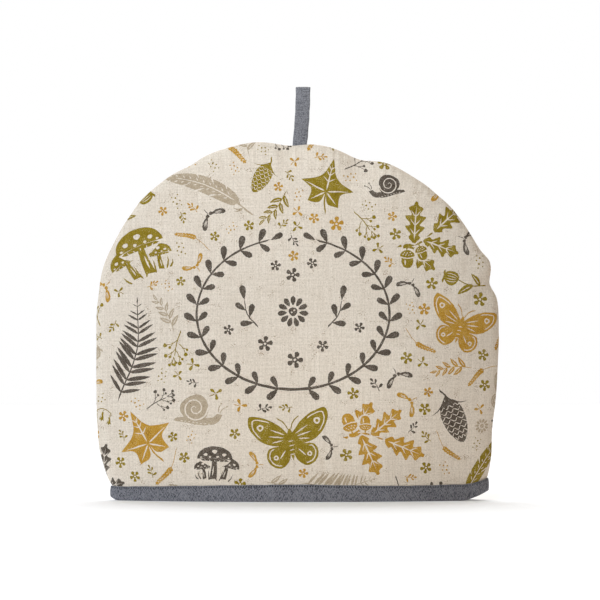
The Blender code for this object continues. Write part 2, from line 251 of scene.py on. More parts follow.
class Cut:
    """A panel's flat cloth: where a place on it, measured along the spokes from the
    middle of the hem, comes to lie. Seen from outside, across runs to the right."""

    SPOKES, RINGS = 541, 420

    def __init__(self, side, rises, creases):
        self.side = side
        self.form = (side, rises, creases)
        even = np.linspace(0, 1, self.RINGS)
        share = even + 0.95 * np.sin(np.pi * even) / np.pi
        self.bearings = np.linspace(0, np.pi, self.SPOKES)
        grid = panel_face(*np.meshgrid(self.bearings, share, indexing="ij"), True, *self.form)
        steps = np.linalg.norm(np.diff(grid, axis=1), axis=2)
        length = np.concatenate([np.zeros((self.SPOKES, 1)), np.cumsum(steps, axis=1)], axis=1)
        self.lengths = length[:, -1]
        part = length / self.lengths[:, None]
        self.shares = np.array([np.interp(even, row, share) for row in part])

    def seam(self, pitch):
        """Flat places along the seam, from the right end of the hem over to the left."""
        line = np.stack([np.cos(self.bearings), np.sin(self.bearings)], -1)
        if self.side > 0:
            line = line[::-1] * (-1, 1)
        reach = self.lengths if self.side < 0 else self.lengths[::-1]
        line = line * reach[:, None]
        way = way_along(line)
        return places_on(line, way, np.linspace(0, way[-1], int(way[-1] / pitch) + 1))

    def polar(self, flat):
        """Bearing and share of the reach of flat places, read from the table of lengths."""
        bearing = np.arctan2(np.clip(flat[:, 1], 0, None), -self.side * flat[:, 0])
        place = bearing / np.pi * (self.SPOKES - 1)
        spoke = np.clip(place.astype(int), 0, self.SPOKES - 2)
        aside = place - spoke
        length = self.lengths[spoke] * (1 - aside) + self.lengths[spoke + 1] * aside
        depth = np.clip(np.hypot(*flat.T) / length, 0, 1) * (self.RINGS - 1)
        ring = np.clip(depth.astype(int), 0, self.RINGS - 2)
        ahead = depth - ring
        near = self.shares[spoke, ring] * (1 - aside) + self.shares[spoke + 1, ring] * aside
        far = self.shares[spoke, ring + 1] * (1 - aside) + self.shares[spoke + 1, ring + 1] * aside
        return bearing, near * (1 - ahead) + far * ahead

    def laid_on(self, flat):
        """The places in space of flat places on the printed face."""
        bearing, share = self.polar(flat)
        return panel_face(bearing, share, True, *self.form)

    def facing(self, flat):
        """Unit normals there, from places a small step to each side."""
        step = 0.25 * MM
        ways = []
        for way in ((step, 0), (0, step)):
            ahead, behind = flat + way, flat - way
            ways.append(curled(self.laid_on(ahead)) - curled(self.laid_on(behind)))
        return unit(np.cross(*ways))


# ----------------------------------------------------------------------------------
# The print on the panels: a woodland pattern cut like lino, in four inks, around an
# oval wreath of leaves. Each motif is a list of outlines in mm, drawn in the order in
# which they cover one another; BARE is where the cutter left the cloth showing.
# ----------------------------------------------------------------------------------
BARE, CHARCOAL, OLIVE, MUSTARD, TAUPE = range(5)


def smooth_line(points, count):
    """Even steps along a cubic line through hand-set points."""
    points = np.array(points, float)
    way = way_along(points)
    where = np.linspace(0, way[-1], count)
    return np.stack([smooth_through(way, points[:, k], where) for k in (0, 1)], -1)


def left_of(ahead):
    """The way to the left of each way in a plane."""
    return np.stack([-ahead[..., 1], ahead[..., 0]], -1)


def band(line, half_width):
    """Outline of a band round a line: along its right side, then back on its left."""
    offset = left_of(unit(np.gradient(line, axis=0))) * np.reshape(half_width, (-1, 1))
    return np.concatenate([line - offset, (line + offset)[-2:0:-1]])


def stalk(points, start=0.55, end=0.35, count=14):
    """A stalk through the points, its half width going evenly from start to end."""
    return band(smooth_line(points, count), np.linspace(start, end, count))


def blade(root, tip, width, fullest=0.45, tip_power=0.9, bend=0.0, count=17):
    """A leaf, petal or nick from root to tip: half width t^a (1 - t)^b, fullest at the
    share given. Bend bows it by that share of its length."""
    root, tip = np.array(root, float), np.array(tip, float)
    t = np.linspace(0, 1, count)
    root_power = tip_power * fullest / (1 - fullest)
    half = t**root_power * (1 - t) ** tip_power
    half *= width / 2 / (fullest**root_power * (1 - fullest) ** tip_power)
    run = tip - root
    line = root + t[:, None] * run + (4 * bend * t * (1 - t))[:, None] * (-run[1], run[0])
    return band(line, half)


def nick(*form, **more):
    """A nick of the cutter: a blade that is left bare."""
    return BARE, blade(*form, **more)


def dot(centre, radius, flat=1.0, count=13):
    """A hand-cut round: its radius swells a little three times on the way round."""
    t = np.linspace(0, 2 * np.pi, count, endpoint=False)
    r = radius * (1 + 0.06 * np.sin(3 * t + centre[0] + centre[1]))
    return np.array(centre) + np.stack([r * np.cos(t), flat * r * np.sin(t)], -1)


def toward(root, heading, length):
    """The place at a length from the root, at a heading in degrees right of upwards."""
    turn = np.radians(heading)
    return np.array(root, float) + length * np.array([np.sin(turn), np.cos(turn)])


def heading_at(line, at):
    """Heading of a line from one of its points to the next."""
    run = line[at + 1] - line[at]
    return np.degrees(np.arctan2(run[0], run[1]))


def spun(outline, heading):
    """An outline turned clockwise about (0, 0) by a heading."""
    turn = np.radians(-heading)
    spin = np.array([[np.cos(turn), -np.sin(turn)], [np.sin(turn), np.cos(turn)]])
    return outline @ spin.T


def leaf(ink, root, heading, size, width=0.34, bend=0.05, veined=True):
    """A leaf with its middle vein left bare."""
    shapes = [(ink, blade(root, toward(root, heading, size), width * size, 0.42, bend=bend))]
    if veined:
        ends = (toward(root, heading, share * size) for share in (0.16, 0.84))
        shapes.append(nick(*ends, max(0.055 * size, 0.7), 0.3, bend=bend, count=9))
    return shapes


def leaflet(ink, root, heading, size):
    """A narrow leaflet with no vein."""
    return leaf(ink, root, heading, size, 0.17, 0, False)


def drop(ink, root, heading, size):
    """A drop-shaped leaf, fullest near its round tip."""
    return [(ink, blade(root, toward(root, heading, size), 0.42 * size, 0.7, 0.5))]


def berry(ink, root, heading, size):
    """A berry on its own thin stalk."""
    end = toward(root, heading, size)
    thin = stalk((root, toward(root, heading - 12, 0.5 * size), end), 0.4, 0.3, 7)
    return [(ink, thin), (ink, dot(end, 0.07 * size + 0.95))]


def bell(ink, root, heading, size):
    """A hanging bell flower: a flared cup with three points and a bare streak."""
    t = np.linspace(0, 1, 8)
    half = size * (0.12 + 0.26 * t**1.6)
    left = np.stack([-half, size * t], -1)
    lip = size * np.array([[-0.16, 0.9], [0.0, 1.12], [0.16, 0.9]])
    cup = np.concatenate([left[::-1], left * (-1, 1), lip[::-1]])[::-1]
    streak = blade((0.1 * size, 0.25 * size), (0.14 * size, 0.85 * size), 0.09 * size, count=7)
    return [(ink, spun(cup, heading) + root), (BARE, spun(streak, heading) + root)]


def twig(ink, length, bow, growths, make, thick=0.55):
    """A bowed stalk with growths on it: rows of its share of the way up, the lean to
    the right in degrees and the size."""
    middle = (bow * length, 0.55 * length)
    line = smooth_line(((0, 0), middle, (0.35 * bow * length, length)), 40)
    shapes = [(ink, stalk(line[::3], thick, 0.5 * thick))]
    for share, lean, size in growths:
        at = min(int(share * 39), 38)
        shapes += make(ink, line[at], heading_at(line, at) + lean, size)
    return shapes


def leafy_twig(ink):
    """A twig with leaves on alternate sides that get smaller to its tip, and one there."""
    share = np.linspace(0.2, 0.9, 8)
    lean = np.where(np.arange(8) % 2, -46, 46) * (1.1 - 0.3 * share)
    size = 19.0 * (1.15 - 0.55 * share)
    growths = [*zip(share, lean, size), (1.0, 4.0, 0.62 * 19.0)]
    return twig(ink, 58.0, 0.09, growths, leaf)


def seed_spray(ink):
    """A thin stalk that forks into fine ones with a seed at the end of each."""
    shapes = [(ink, stalk(((0, 0), (1.5, 12), (0.5, 27)), 0.6, 0.4))]
    forks = ((9, 52, 15), (13, -48, 14), (18, 40, 13), (20, -30, 14), (27, 14, 9), (27, -18, 8))
    for start, heading, size in forks:
        root = (0.05 * start, start)
        shapes += berry(ink, root, heading, size)
        shapes += berry(ink, toward(root, heading, 0.45 * size), heading - 38, 0.42 * size)
    return shapes


def fern(ink):
    """A fern frond: narrow leaflets in close pairs that shorten to the tip."""
    share = np.linspace(0.12, 0.95, 14)
    size = 20 * np.sin(np.pi * share**0.62) ** 0.8 + 1.5
    growths = [(s, lean, z) for s, z in zip(share, size) for lean in (58, -58)]
    return twig(ink, 84, 0.12, [*growths, (1.0, 0, 6)], leaflet, 0.7)


def plume(ink):
    """A grass head: a long thin stalk with small seeds crowded on its upper half."""
    share = np.linspace(0.5, 0.98, 13)
    growths = [(s, lean, 7.2 - 3.4 * s) for s in share for lean in (34, -34)]
    return twig(ink, 50, 0.16, [*growths, (1.0, 0, 5)], drop, 0.4)


def bell_twig(ink):
    """An arching stalk of bell flowers with two leaves at its foot."""
    line = smooth_line(((0, 0), (2, 22), (11, 36), (24, 38)), 30)
    shapes = [(ink, stalk(line[::2], 0.6, 0.35, 18))]
    for at, size in ((12, 8.5), (17, 9.5), (22, 8.5), (27, 7.0)):
        foot = toward(line[at], 165, 3.5)
        shapes += [(ink, stalk((line[at], foot), 0.35, 0.35, 4))]
        shapes += bell(ink, foot, 172 - at, size)
    return shapes + leaf(ink, line[2], 38, 17) + leaf(ink, line[4], -34, 19)


def oak_leaf(ink, root, heading, size):
    """An oak leaf: its half width swells into four round lobes, which lean forward as
    far as they reach out. Its rib and side veins are left bare, and so is a rim that
    parts it from what it covers."""
    t = np.linspace(0, 1, 58)
    lobe = 0.5 - 0.5 * np.cos(2 * np.pi * 4.25 * t**0.92)
    fullness = np.sin(np.pi * t**0.8) ** 0.8
    half = size * (0.025 + fullness * (0.09 + 0.17 * lobe * (0.55 + 0.6 * t)))
    half[-1] = 0
    ahead = toward((0, 0), heading, 1)
    line = np.array(root) + (size * (t + 0.07 * lobe * np.sin(np.pi * t)))[:, None] * ahead
    beside = left_of(ahead) * half[:, None]
    outline = np.concatenate([line - beside, (line + beside)[-2:0:-1]])
    middle = outline.mean(0)
    shapes = [(BARE, middle + 1.09 * (outline - middle)), (ink, outline)]
    rib = (toward(root, heading, share * size) for share in (0.08, 0.9))
    shapes.append(nick(*rib, 1.3, 0.2, count=9))
    for share in (0.2, 0.42, 0.63):
        on_rib = toward(root, heading, share * size)
        for lean in (38, -38):
            end = toward(on_rib, heading + lean, 0.2 * size)
            shapes.append(nick(on_rib, end, 0.9, 0.3, count=6))
    return shapes


def acorn(ink, root, heading, size):
    """An acorn: its cup hatched with bare nicks, its nut with a bare streak."""
    t = np.linspace(0, np.pi, 12)
    cup = np.stack([0.32 * np.cos(t + np.pi), 0.48 + 0.26 * np.sin(t + np.pi)], -1)
    parts = [
        nick((0, 0.12), (0, 1.08), 0.82, 0.45, 0.5),
        (ink, stalk(((0, 0), (0.02, 0.12), (0, 0.26)), 0.035, 0.03, 5)),
        (ink, blade((0, 0.4), (0, 1.0), 0.52, 0.42, 0.42)),
        (ink, np.concatenate([cup, [[0.2, 0.55], [0, 0.56], [-0.2, 0.55]]])),
        (BARE, stalk(((-0.33, 0.52), (0, 0.575), (0.33, 0.52)), 0.022, 0.022, 9)),
        nick((0.1, 0.62), (0.09, 0.88), 0.06, count=7),
    ]
    for x, y in (
        (-0.18, 0.4), (-0.06, 0.43), (0.06, 0.43), (0.18, 0.4), (-0.12, 0.32), (0, 0.34),
        (0.12, 0.32),
    ):
        parts.append(nick((x - 0.03, y - 0.02), (x + 0.03, y + 0.04), 0.035, count=6))
    return [(shade, spun(outline * size, heading) + root) for shade, outline in parts]


def oak_spray(ink):
    """A short bough with four oak leaves and two acorns."""
    shapes = [(ink, stalk(((0, 0), (7, 17), (4, 36)), 1.0, 0.6))]
    for root, heading, size in (
        ((2, 6), 66, 36), ((5, 15), -58, 38), ((6.5, 24), 48, 34), ((4, 36), -14, 38)
    ):
        shapes += oak_leaf(ink, root, heading, size)
    return shapes + acorn(ink, (3.5, 9), 118, 21) + acorn(ink, (6, 19), 100, 17)


def toadstool(ink, foot, height, tilt):
    """A toadstool: a spotted cap over a band of gills and a stalk that swells below."""
    t = np.linspace(0, np.pi, 22)
    dome = np.stack([0.52 * np.cos(t), 0.6 + 0.4 * np.sin(t) ** 0.85], -1)
    under = np.linspace(0, np.pi, 9)[1:-1]
    brim = np.stack([np.linspace(-0.5, 0.5, 9)[1:-1], 0.6 + 0.05 * np.sin(under)], -1)
    middle = smooth_line(((0.02, 0), (0.0, 0.35), (0.01, 0.62)), 12)
    stem = band(middle, np.linspace(0.11, 0.065, 12))
    gills = blade((-0.42, 0.575), (0.42, 0.575), 0.09, 0.5, 0.4, 0.03, count=14)
    parts = [(BARE, stem * (1.5, 1)), (BARE, dot((0, 0.74), 0.56, 0.6, 24))]
    parts += [(ink, stem), (ink, gills), (ink, np.concatenate([dome, brim]))]
    for x, y, radius in (
        (-0.27, 0.76, 0.06), (0.02, 0.84, 0.075), (0.28, 0.74, 0.055), (-0.08, 0.69, 0.04),
        (0.14, 0.68, 0.035), (-0.4, 0.66, 0.03), (0.41, 0.65, 0.03),
    ):
        parts.append((BARE, dot((x, y), radius, 0.75, 11)))
    for x in (-0.25, -0.13, 0.0, 0.13, 0.25):
        parts.append(nick((x, 0.545), (1.2 * x, 0.6), 0.022, count=6))
    parts.append(nick((0.035, 0.12), (0.02, 0.42), 0.035, count=8))
    return [(shade, spun(outline * height, tilt) + foot) for shade, outline in parts]


def toadstools(ink):
    """Three toadstools together with blades of grass at their feet."""
    shapes = []
    for foot, height, tilt in (((-15, 1), 38, -10), ((15, 0), 30, 12), ((1, 0), 55, 2)):
        shapes += toadstool(ink, foot, height, tilt)
    for x, lean, size in (
        (-22, -30, 14), (-8, -14, 19), (-4, 16, 12), (8, 8, 17), (21, 26, 15), (25, 42, 10)
    ):
        tip = toward((x, -1), lean, size)
        shapes.append((ink, blade((x, -1), tip, 2.0, 0.25, bend=-lean / 300)))
    return shapes


def feather(ink):
    """A feather: a bare shaft, and bare splits where the barbs have parted."""
    line = smooth_line(((0, 0), (5, 30), (3, 62), (-6, 88)), 60)
    t = np.linspace(0, 1, 48)
    vane = band(line[12:], 9.5 * t**0.34 * (1 - t) ** 0.55 * 1.45)
    shaft = stalk(line[14:56:3], 0.55, 0.3)
    shapes = [(ink, vane), (ink, stalk(line[:22:2], 0.8, 0.5)), (BARE, shaft)]
    for at, side, long in (
        (18, 1, 8), (22, -1, 9), (27, 1, 10), (31, -1, 10), (36, 1, 9), (41, -1, 9), (45, 1, 8),
        (50, -1, 6),
    ):
        heading = heading_at(line, at) + side * 38
        outer = toward(line[at], heading, 15)
        shapes.append(nick(outer, toward(outer, heading + 180, long), 1.5, 0.3, bend=0.05, count=8))
    for at in range(17, 54, 4):
        for side in (1, -1):
            heading = heading_at(line, at) + side * 40
            near = toward(line[at + 1], heading, 2.2)
            shapes.append(nick(near, toward(near, heading, 3.6), 0.8, count=6))
    for lean in (-46, 40, -28):
        shapes.append((ink, blade(line[8], toward(line[8], lean, 9), 1.3, 0.4, bend=0.2, count=8)))
    return shapes


def moth(ink):
    """A moth with its wings spread, their edges and eyespots left bare."""
    fore = ((1, 8), (9, 17), (21, 24), (30, 25), (31, 19), (27, 10), (20, 3), (10, 0), (1, 1))
    hind = ((1, 2), (9, 0), (18, -2), (20, -8), (17, -15), (10, -18), (4, -14), (1, -6))
    veins = (((4, 8), 62, 12), ((5, 6), 78, 12), ((6, 4), 96, 9), ((5, -4), 140, 8))
    shapes = []
    for side in (1, -1):
        for wing in (hind, fore):
            rim = smooth_line(wing + wing[:1], 40)[:-1] * (side, 1)
            shapes.append((ink, rim[::-side]))
            middle = np.array(wing, float).mean(0) * (side, 1)
            shapes.append((BARE, band((middle + 0.78 * (rim - middle))[8:26], 0.42)))
        for root, heading, long in veins:
            start = np.array(root) * (side, 1)
            shapes.append(nick(start, toward(start, side * heading, long), 1.0, count=8))
        for x, y, outer, inner, count in ((22, 16, 2.6, 1.3, 9), (13, -9, 2.0, 0.9, 8)):
            shapes.append((BARE, dot((side * x, y), outer)))
            shapes.append((ink, dot((side * x, y), inner, count=count)))
        feeler = ((0.6 * side, 11), (4 * side, 18), (9 * side, 22))
        shapes.append((ink, stalk(feeler, 0.35, 0.5, 9)))
    shapes.append((ink, blade((0, -13), (0, 13), 5.0, 0.6, 0.6)))
    return shapes + [nick((-2, y), (2, y + 0.4), 0.8, count=6) for y in (-8, -4.5, -1, 2.5)]


def snail(ink):
    """A snail: a round shell with a bare coil in it, and a low body with two horns."""
    back = smooth_line(((-23, 0), (-8, 1.5), (9, 2), (19, 5), (23, 12)), 24)
    turns = np.linspace(0.6, 4.1 * np.pi, 64)
    coil = np.stack([-3 + 1.02 * turns * np.cos(turns), 13.5 + 1.02 * turns * np.sin(turns)], -1)
    shapes = [
        (ink, band(back, 3.4 * np.sin(np.linspace(0.12, 2.6, 24)) ** 0.7 + 0.4)),
        (ink, dot((-3, 13.5), 14.2, 0.94, 34)),
        (BARE, band(coil, np.linspace(0.35, 0.75, 64))),
    ]
    for horn, tip in (
        (((22, 11), (24, 16), (28, 19)), (28.4, 19.4)),
        (((21, 12), (20.5, 17), (22, 21)), (22.2, 21.6)),
    ):
        shapes += [(ink, stalk(horn, 0.5, 0.4, 6)), (ink, dot(tip, 1.0, count=8))]
    return shapes + [nick((x, -0.6), (x + 2.6, -0.1), 0.8, count=6) for x in range(-16, 17, 4)]


def pine_cone(ink):
    """A hanging cone of overlapping scales parted by bare arcs, with needles above."""
    shapes = [(ink, blade((0, 24), (0, -24), 26, 0.4, 0.6, count=30))]
    for row, y in enumerate(np.linspace(17, -17, 8)):
        wide = 12.4 * (1 - ((y - 3) / 30) ** 2)
        for x in np.arange(-1.5 + 0.5 * (row % 2), 2.0, 1.0) * 0.68 * wide:
            arc = ((x - 0.34 * wide, y + 1.5), (x, y - 2.2), (x + 0.34 * wide, y + 1.5))
            shapes.append((BARE, band(smooth_line(arc, 7), 0.42)))
    for lean in (-142, -122, 124, 144):
        needle = blade((0, 29), toward((0, 29), lean, 26), 1.7, 0.3, bend=-lean / 900, count=11)
        shapes.append((ink, needle))
    return shapes + [(ink, stalk(((0, 20), (1, 27), (-4, 38)), 1.3, 0.9, 7))]


def ivy_leaf(ink):
    """An ivy leaf: five pointed lobes with hollows between them, on a bowed stalk. A
    bare vein runs to each lobe, and small ones fork from the middle one."""
    tips = ((0, -1), (17, -14), (29, 7), (0, 37))
    hollows = ((5, -13), (16, -1), (9, 16))
    lobes = [smooth_line((tips[k], hollows[k], tips[k + 1]), 10)[:-1] for k in range(3)]
    half = np.concatenate(lobes)
    shapes = [(ink, np.concatenate([half, [tips[3]], (half * (-1, 1))[:0:-1]]))]
    shapes.append((ink, stalk(((0, 1), (1, -12), (6, -24)), 0.8, 0.9, 8)))
    for x, y in ((0, 37), (29, 7), (-29, 7), (17, -14), (-17, -14)):
        tip = np.array([0.84 * x, 0.84 * y])
        shapes.append(nick(0.06 * tip, tip, 1.5, 0.25, count=9))
    for y in (11, 18, 24):
        for side in (1, -1):
            shapes.append(nick((0, y), (side * (10 - 0.28 * y), y + 5), 1.0, 0.3, count=6))
    return shapes


def poppy_head(ink):
    """A ripe poppy head with its crown, on a bowed stalk with one leaf."""
    crown = smooth_line(((-7.5, 17.6), (0, 16.2), (7.5, 17.6)), 11)
    shapes = [
        (ink, stalk(((-3, -34), (3, -16), (0, 2)), 0.7, 0.6)),
        (ink, dot((0, 8), 8.2, 1.05, 26)),
        (ink, band(crown, 1.1)),
    ]
    for x in (-3.6, -1.2, 1.2, 3.6):
        shapes.append(nick((0.6 * x, 1.4), (x, 14), 0.8, 0.5, bend=-x / 30, count=9))
    return shapes + leaf(ink, (2, -18), 44, 21) + leaf(ink, (0.5, -26), -38, 17)


def petals(ink, number, turn, inner, outer, *form, **more):
    """A ring of petals, from an inner to an outer reach."""
    shapes = []
    for k in range(number):
        heading = 360 * k / number + turn
        ends = (toward((0, 0), heading, reach) for reach in (inner, outer))
        shapes.append((ink, blade(*ends, *form, **more)))
    return shapes


def flower(ink):
    """A small open flower of drop-shaped petals round a bare eye."""
    ring = petals(ink, 5, 8, 1.4, 7.4, 4.2, 0.68, 0.5, count=8)
    return [(ink, dot((0, 0), 2.6, count=10)), *ring, (BARE, dot((0, 0), 1.15, count=8))]


def double_flower(ink):
    """A daisy: a ring of narrow petals, and its eye with two bare flecks."""
    shapes = petals(ink, 11, 0, 4.2, 11, 3.6, 0.6, 0.6, count=9)
    shapes.append((ink, dot((0, 0), 3.1, count=14)))
    for centre, radius in (((0.9, 0.9), 0.7), ((-0.9, -0.6), 0.6)):
        shapes.append((BARE, dot(centre, radius, count=6)))
    return shapes


def trefoil(ink):
    """A three-part leaf on a short stalk."""
    shapes = [(ink, stalk(((0.8, -8), (0, -3), (0, 0)), 0.5, 0.4, 6))]
    for lean in (0, 112, -112):
        shapes += drop(ink, (0, 0), lean, 7.5)
    return shapes


def seedling(ink):
    """Two pairs of drops and one at the tip, on a short stalk."""
    growths = ((0.3, 62, 6.2), (0.42, -58, 6.0), (0.75, 46, 5.0), (0.8, -44, 4.8), (1.0, 0, 5.2))
    return twig(ink, 11, 0.1, growths, drop, 0.45)


def winged_seed(ink):
    """A pair of winged seeds that hang from one stalk."""
    shapes = [(ink, stalk(((0, 9), (0.5, 4), (0, 0)), 0.45, 0.45, 6))]
    for side in (1, -1):
        wing = blade((2 * side, -1.5), (17 * side, -12), 6.4, 0.66, 0.5, 0.1 * side)
        shapes += [(ink, dot((2.6 * side, -1), 2.4, 0.9)), (ink, wing)]
        for lean in (118, 126):
            near = toward((2.5 * side, -1), side * lean, 5)
            shapes.append(nick(near, toward(near, side * lean, 9), 0.8, count=7))
    return shapes


def berries(ink):
    """Scattered seeds."""
    places = (
        (0, 0, 1.3), (5, 2, 1.1), (3, 7, 1.2), (-3, 5, 1.0), (8, 7, 0.9), (-6, 0, 0.9),
        (1, 12, 0.9), (-2, -5, 1.0),
    )
    return [(ink, dot((x, y), radius, count=9)) for x, y, radius in places]


def wreath():
    """The wreath: two boughs that curve up from below into an oval with its top open,
    leaves in pairs along them, and inside it a flower between two mirrored sprigs."""
    t = np.linspace(-0.035, 0.925, 70) * np.pi
    growths = ((0.22, 50, 15), (0.42, -50, 15), (0.66, 40, 14), (1.0, 0, 16))
    shapes = []
    for side in (1, -1):
        bough = np.stack([side * 84 * np.sin(t), -66 * np.cos(t)], -1)
        shapes.append((CHARCOAL, band(bough[::side], np.linspace(1.25, 0.8, 70)[::side])))
        for at in range(6, 68, 5):
            for lean, size in ((52, 13.5), (-52, 12.0)):
                shapes += drop(CHARCOAL, bough[at], heading_at(bough, at) + side * lean, size)
        shapes += drop(CHARCOAL, bough[-1], side * -62, 12)
        sprig = laid(twig(CHARCOAL, 34, 0.16, growths, drop, 0.8), 42, 4, 40, 24)
        shapes += [(ink, (outline * (side, 1))[::side]) for ink, outline in sprig]
    shapes += laid(double_flower(CHARCOAL), 0, 2, 27, 0)
    for across, up, size, turn in (
        (0, 34, 12, 10), (-24, -26, 13, 0), (26, -28, 10, 30), (2, -40, 14, 12), (-15, 42, 9, 0),
        (17, 44, 9, 40), (-56, -14, 9, 5), (58, -12, 9, 18),
    ):
        shapes += laid(flower(CHARCOAL), across, up, size, turn)
    return shapes


def laid(shapes, across, up, size, turn, flip=1):
    """The shapes scaled until their longer side is the size, mirrored or not, turned
    clockwise in degrees and set down with their middle at the place, all in mm."""
    every = np.concatenate([outline for _, outline in shapes])
    low, high = every.min(0), every.max(0)
    grow = size / np.max(high - low)
    return [
        (ink, (spun((outline - (low + high) / 2) * (flip, 1) * grow, turn) + (across, up))[::flip])
        for ink, outline in shapes
    ]


# The large motifs, listed one by one: motif, ink, place across and up and longer side in mm, turn
# in degrees, and -1 for a mirrored one.
LARGE = (
    (oak_spray, OLIVE, 118, 222, 78, 62, 1),
    (toadstools, OLIVE, -140, 204, 60, -24, 1),
    (moth, MUSTARD, 143, 140, 60, 18, 1),
    (feather, TAUPE, -76, 256, 86, -62, 1),
    (ivy_leaf, OLIVE, 26, 262, 50, 14, 1),
    (pine_cone, CHARCOAL, 136, 62, 52, -24, 1),
    (oak_spray, MUSTARD, 74, 40, 80, 98, -1),
    (moth, OLIVE, -6, 40, 70, -8, 1),
    (snail, TAUPE, -84, 66, 46, 8, 1),
    (fern, CHARCOAL, -142, 118, 94, 10, 1),
    (ivy_leaf, MUSTARD, -134, 42, 54, -30, 1),
    (toadstools, CHARCOAL, -70, 20, 42, 6, -1),
    (feather, OLIVE, 168, 12, 82, 34, -1),
    (pine_cone, OLIVE, -30, 272, 36, 30, 1),
    (snail, CHARCOAL, 76, 262, 34, -14, -1),
    (oak_spray, CHARCOAL, -180, 6, 66, 30, 1),
    (fern, TAUPE, 36, -2, 66, 84, 1),
    (fern, MUSTARD, 181, 196, 60, -12, 1),
    (moth, TAUPE, 190, 78, 44, 30, 1),
)
# The middling and small ones are scattered in the room that is left: motif, its
# possible inks, and the smallest and largest size in mm.
MIDDLING = (
    (leafy_twig, (OLIVE, MUSTARD), 38, 46),
    (seed_spray, (CHARCOAL,), 26, 34),
    (bell_twig, (OLIVE, MUSTARD), 34, 42),
    (plume, (MUSTARD,), 34, 44),
    (poppy_head, (TAUPE, OLIVE), 34, 42),
    (seed_spray, (OLIVE,), 30, 36),
    (winged_seed, (CHARCOAL, MUSTARD), 22, 27),
    (leafy_twig, (TAUPE,), 34, 44),
)
SMALL = (
    (flower, (OLIVE, MUSTARD, OLIVE), 10, 15),
    (seedling, (OLIVE, CHARCOAL, MUSTARD), 11, 15),
    (double_flower, (TAUPE,), 13, 17),
    (flower, (MUSTARD, OLIVE), 8, 11),
    (trefoil, (OLIVE, MUSTARD), 10, 14),
    (berries, (MUSTARD, OLIVE), 11, 14),
)
WREATH_PLACE = (-4, 150)
PRINT_MARGIN = 3                     # bare cloth between the motifs, in mm
FIELD_LOW = np.array([-200, -20])    # corner of the field that the scatter keeps count of
FIELD_SIZE = (400, 350)
SCATTER_LOW, SCATTER_HIGH = (-196, -12), (196, 312)
CUTTER_WAVER = 0.14


def scattered(rng):
    """All the motifs: the wreath and the large ones where they are listed, then
    the rest tried at random places and kept where no ink is near."""
    taken = np.zeros(FIELD_SIZE, bool)
    reach = np.arange(-PRINT_MARGIN, PRINT_MARGIN + 1)
    around = np.stack(np.meshgrid(reach, reach), -1).reshape(-1, 2)
    around = around[np.hypot(*around.T) <= PRINT_MARGIN]
    drawn = {}

    def motif_in(motif, ink):
        """A motif's shapes in an ink, worked out only once."""
        if (motif, ink) not in drawn:
            drawn[motif, ink] = motif(ink)
        return drawn[motif, ink]

    def cells(shapes, spread):
        """Cells of the field, 1 mm wide, that the shapes and a spread round them cover."""
        outline = np.concatenate([line for _, line in shapes])
        middle = outline.mean(0)
        filled = [middle + part * (outline - middle) for part in (1, 0.8, 0.6, 0.4, 0.2)]
        near = (np.concatenate(filled)[:, None] + spread).reshape(-1, 2) - FIELD_LOW
        return tuple(np.clip(near, 0, np.array(FIELD_SIZE) - 1).astype(int).T)

    shapes = [(ink, line + WREATH_PLACE) for ink, line in wreath()]
    taken[cells(shapes, around)] = True
    for motif, ink, across, up, size, turn, flip in LARGE:
        motif_shapes = laid(motif_in(motif, ink), across, up, size, turn, flip)
        taken[cells(motif_shapes, around)] = True
        shapes += motif_shapes
    for group, tries in ((MIDDLING, 2400), (SMALL, 9000)):
        for attempt in range(tries):
            motif, inks, smallest, largest = group[attempt % len(group)]
            ink = inks[rng.integers(len(inks))]
            across, up = rng.uniform(SCATTER_LOW, SCATTER_HIGH)
            size, turn = rng.uniform((smallest, 0), (largest, 360))
            trial = laid(motif_in(motif, ink), across, up, size, turn, rng.choice((-1, 1)))
            if not taken[cells(trial, np.zeros((1, 2)))].any():
                taken[cells(trial, around)] = True
                shapes += trial
    return shapes


def hand_cut(outline):
    """Give an outline the small waver of a cutter, the same for shapes that touch."""
    x, y = outline.T
    waver = np.stack([np.sin(1.9 * y + 0.8 * x), np.sin(2.1 * x - 0.7 * y)], -1)
    return outline + CUTTER_WAVER * waver


# ----------------------------------------------------------------------------------
# The panels' cloth: one closed skin for each padded panel. Its printed face is cut up
# along the outlines of the print, and each piece of it keeps its ink as a colour. A
# lining face, a flat band along the seam and a straight collar at the hem close it.
# ----------------------------------------------------------------------------------
SEAM_STEP = 1.7 * MM
HEM_STEP = 2.4 * MM
CLOTH_STEP = 3.4 * MM        # between the net's own points, in rows a little closer
ROW_STEP = 0.87 * CLOTH_STEP
NEAR_SEAM = np.array([0.45, 1.0, 1.8, 2.8, 4.1, 5.7, 7.6, 9.8]) * MM
HEM_CLEARANCE = 0.4 * MM
ROWS_CLEARANCE = 1.2 * MM
PRINT_CLEARANCE = 1.1 * MM   # the net's own points keep this clear of the print's lines
LINING_RINGS = 20
RAW_EDGE_UP = 2.0 * MM       # height of the panels' raw edge inside the binding's fold
# The inks soak in and dim the cloth: the share of its light that each lets through.
INK_FILTERS = {
    CHARCOAL: (0.100, 0.088, 0.080),
    OLIVE: (0.300, 0.230, 0.014),
    MUSTARD: (0.610, 0.348, 0.040),
    TAUPE: (0.553, 0.498, 0.405),
}


def within(places, outline):
    """Which places an outline winds round, from the signs of its edges' crossings."""
    inside = np.all((places > outline.min(0)) & (places < outline.max(0)), axis=1)
    near = places[inside][:, None]
    start, end = outline, np.roll(outline, -1, axis=0)
    run = end - start
    left = run[:, 0] * (near[..., 1] - start[:, 1]) - run[:, 1] * (near[..., 0] - start[:, 0])
    below, above = start[:, 1] <= near[..., 1], end[:, 1] > near[..., 1]
    winding = np.sum(below & above & (left > 0), axis=1)
    winding = winding - np.sum(~below & ~above & (left < 0), axis=1)
    inside[inside] = winding != 0
    return inside


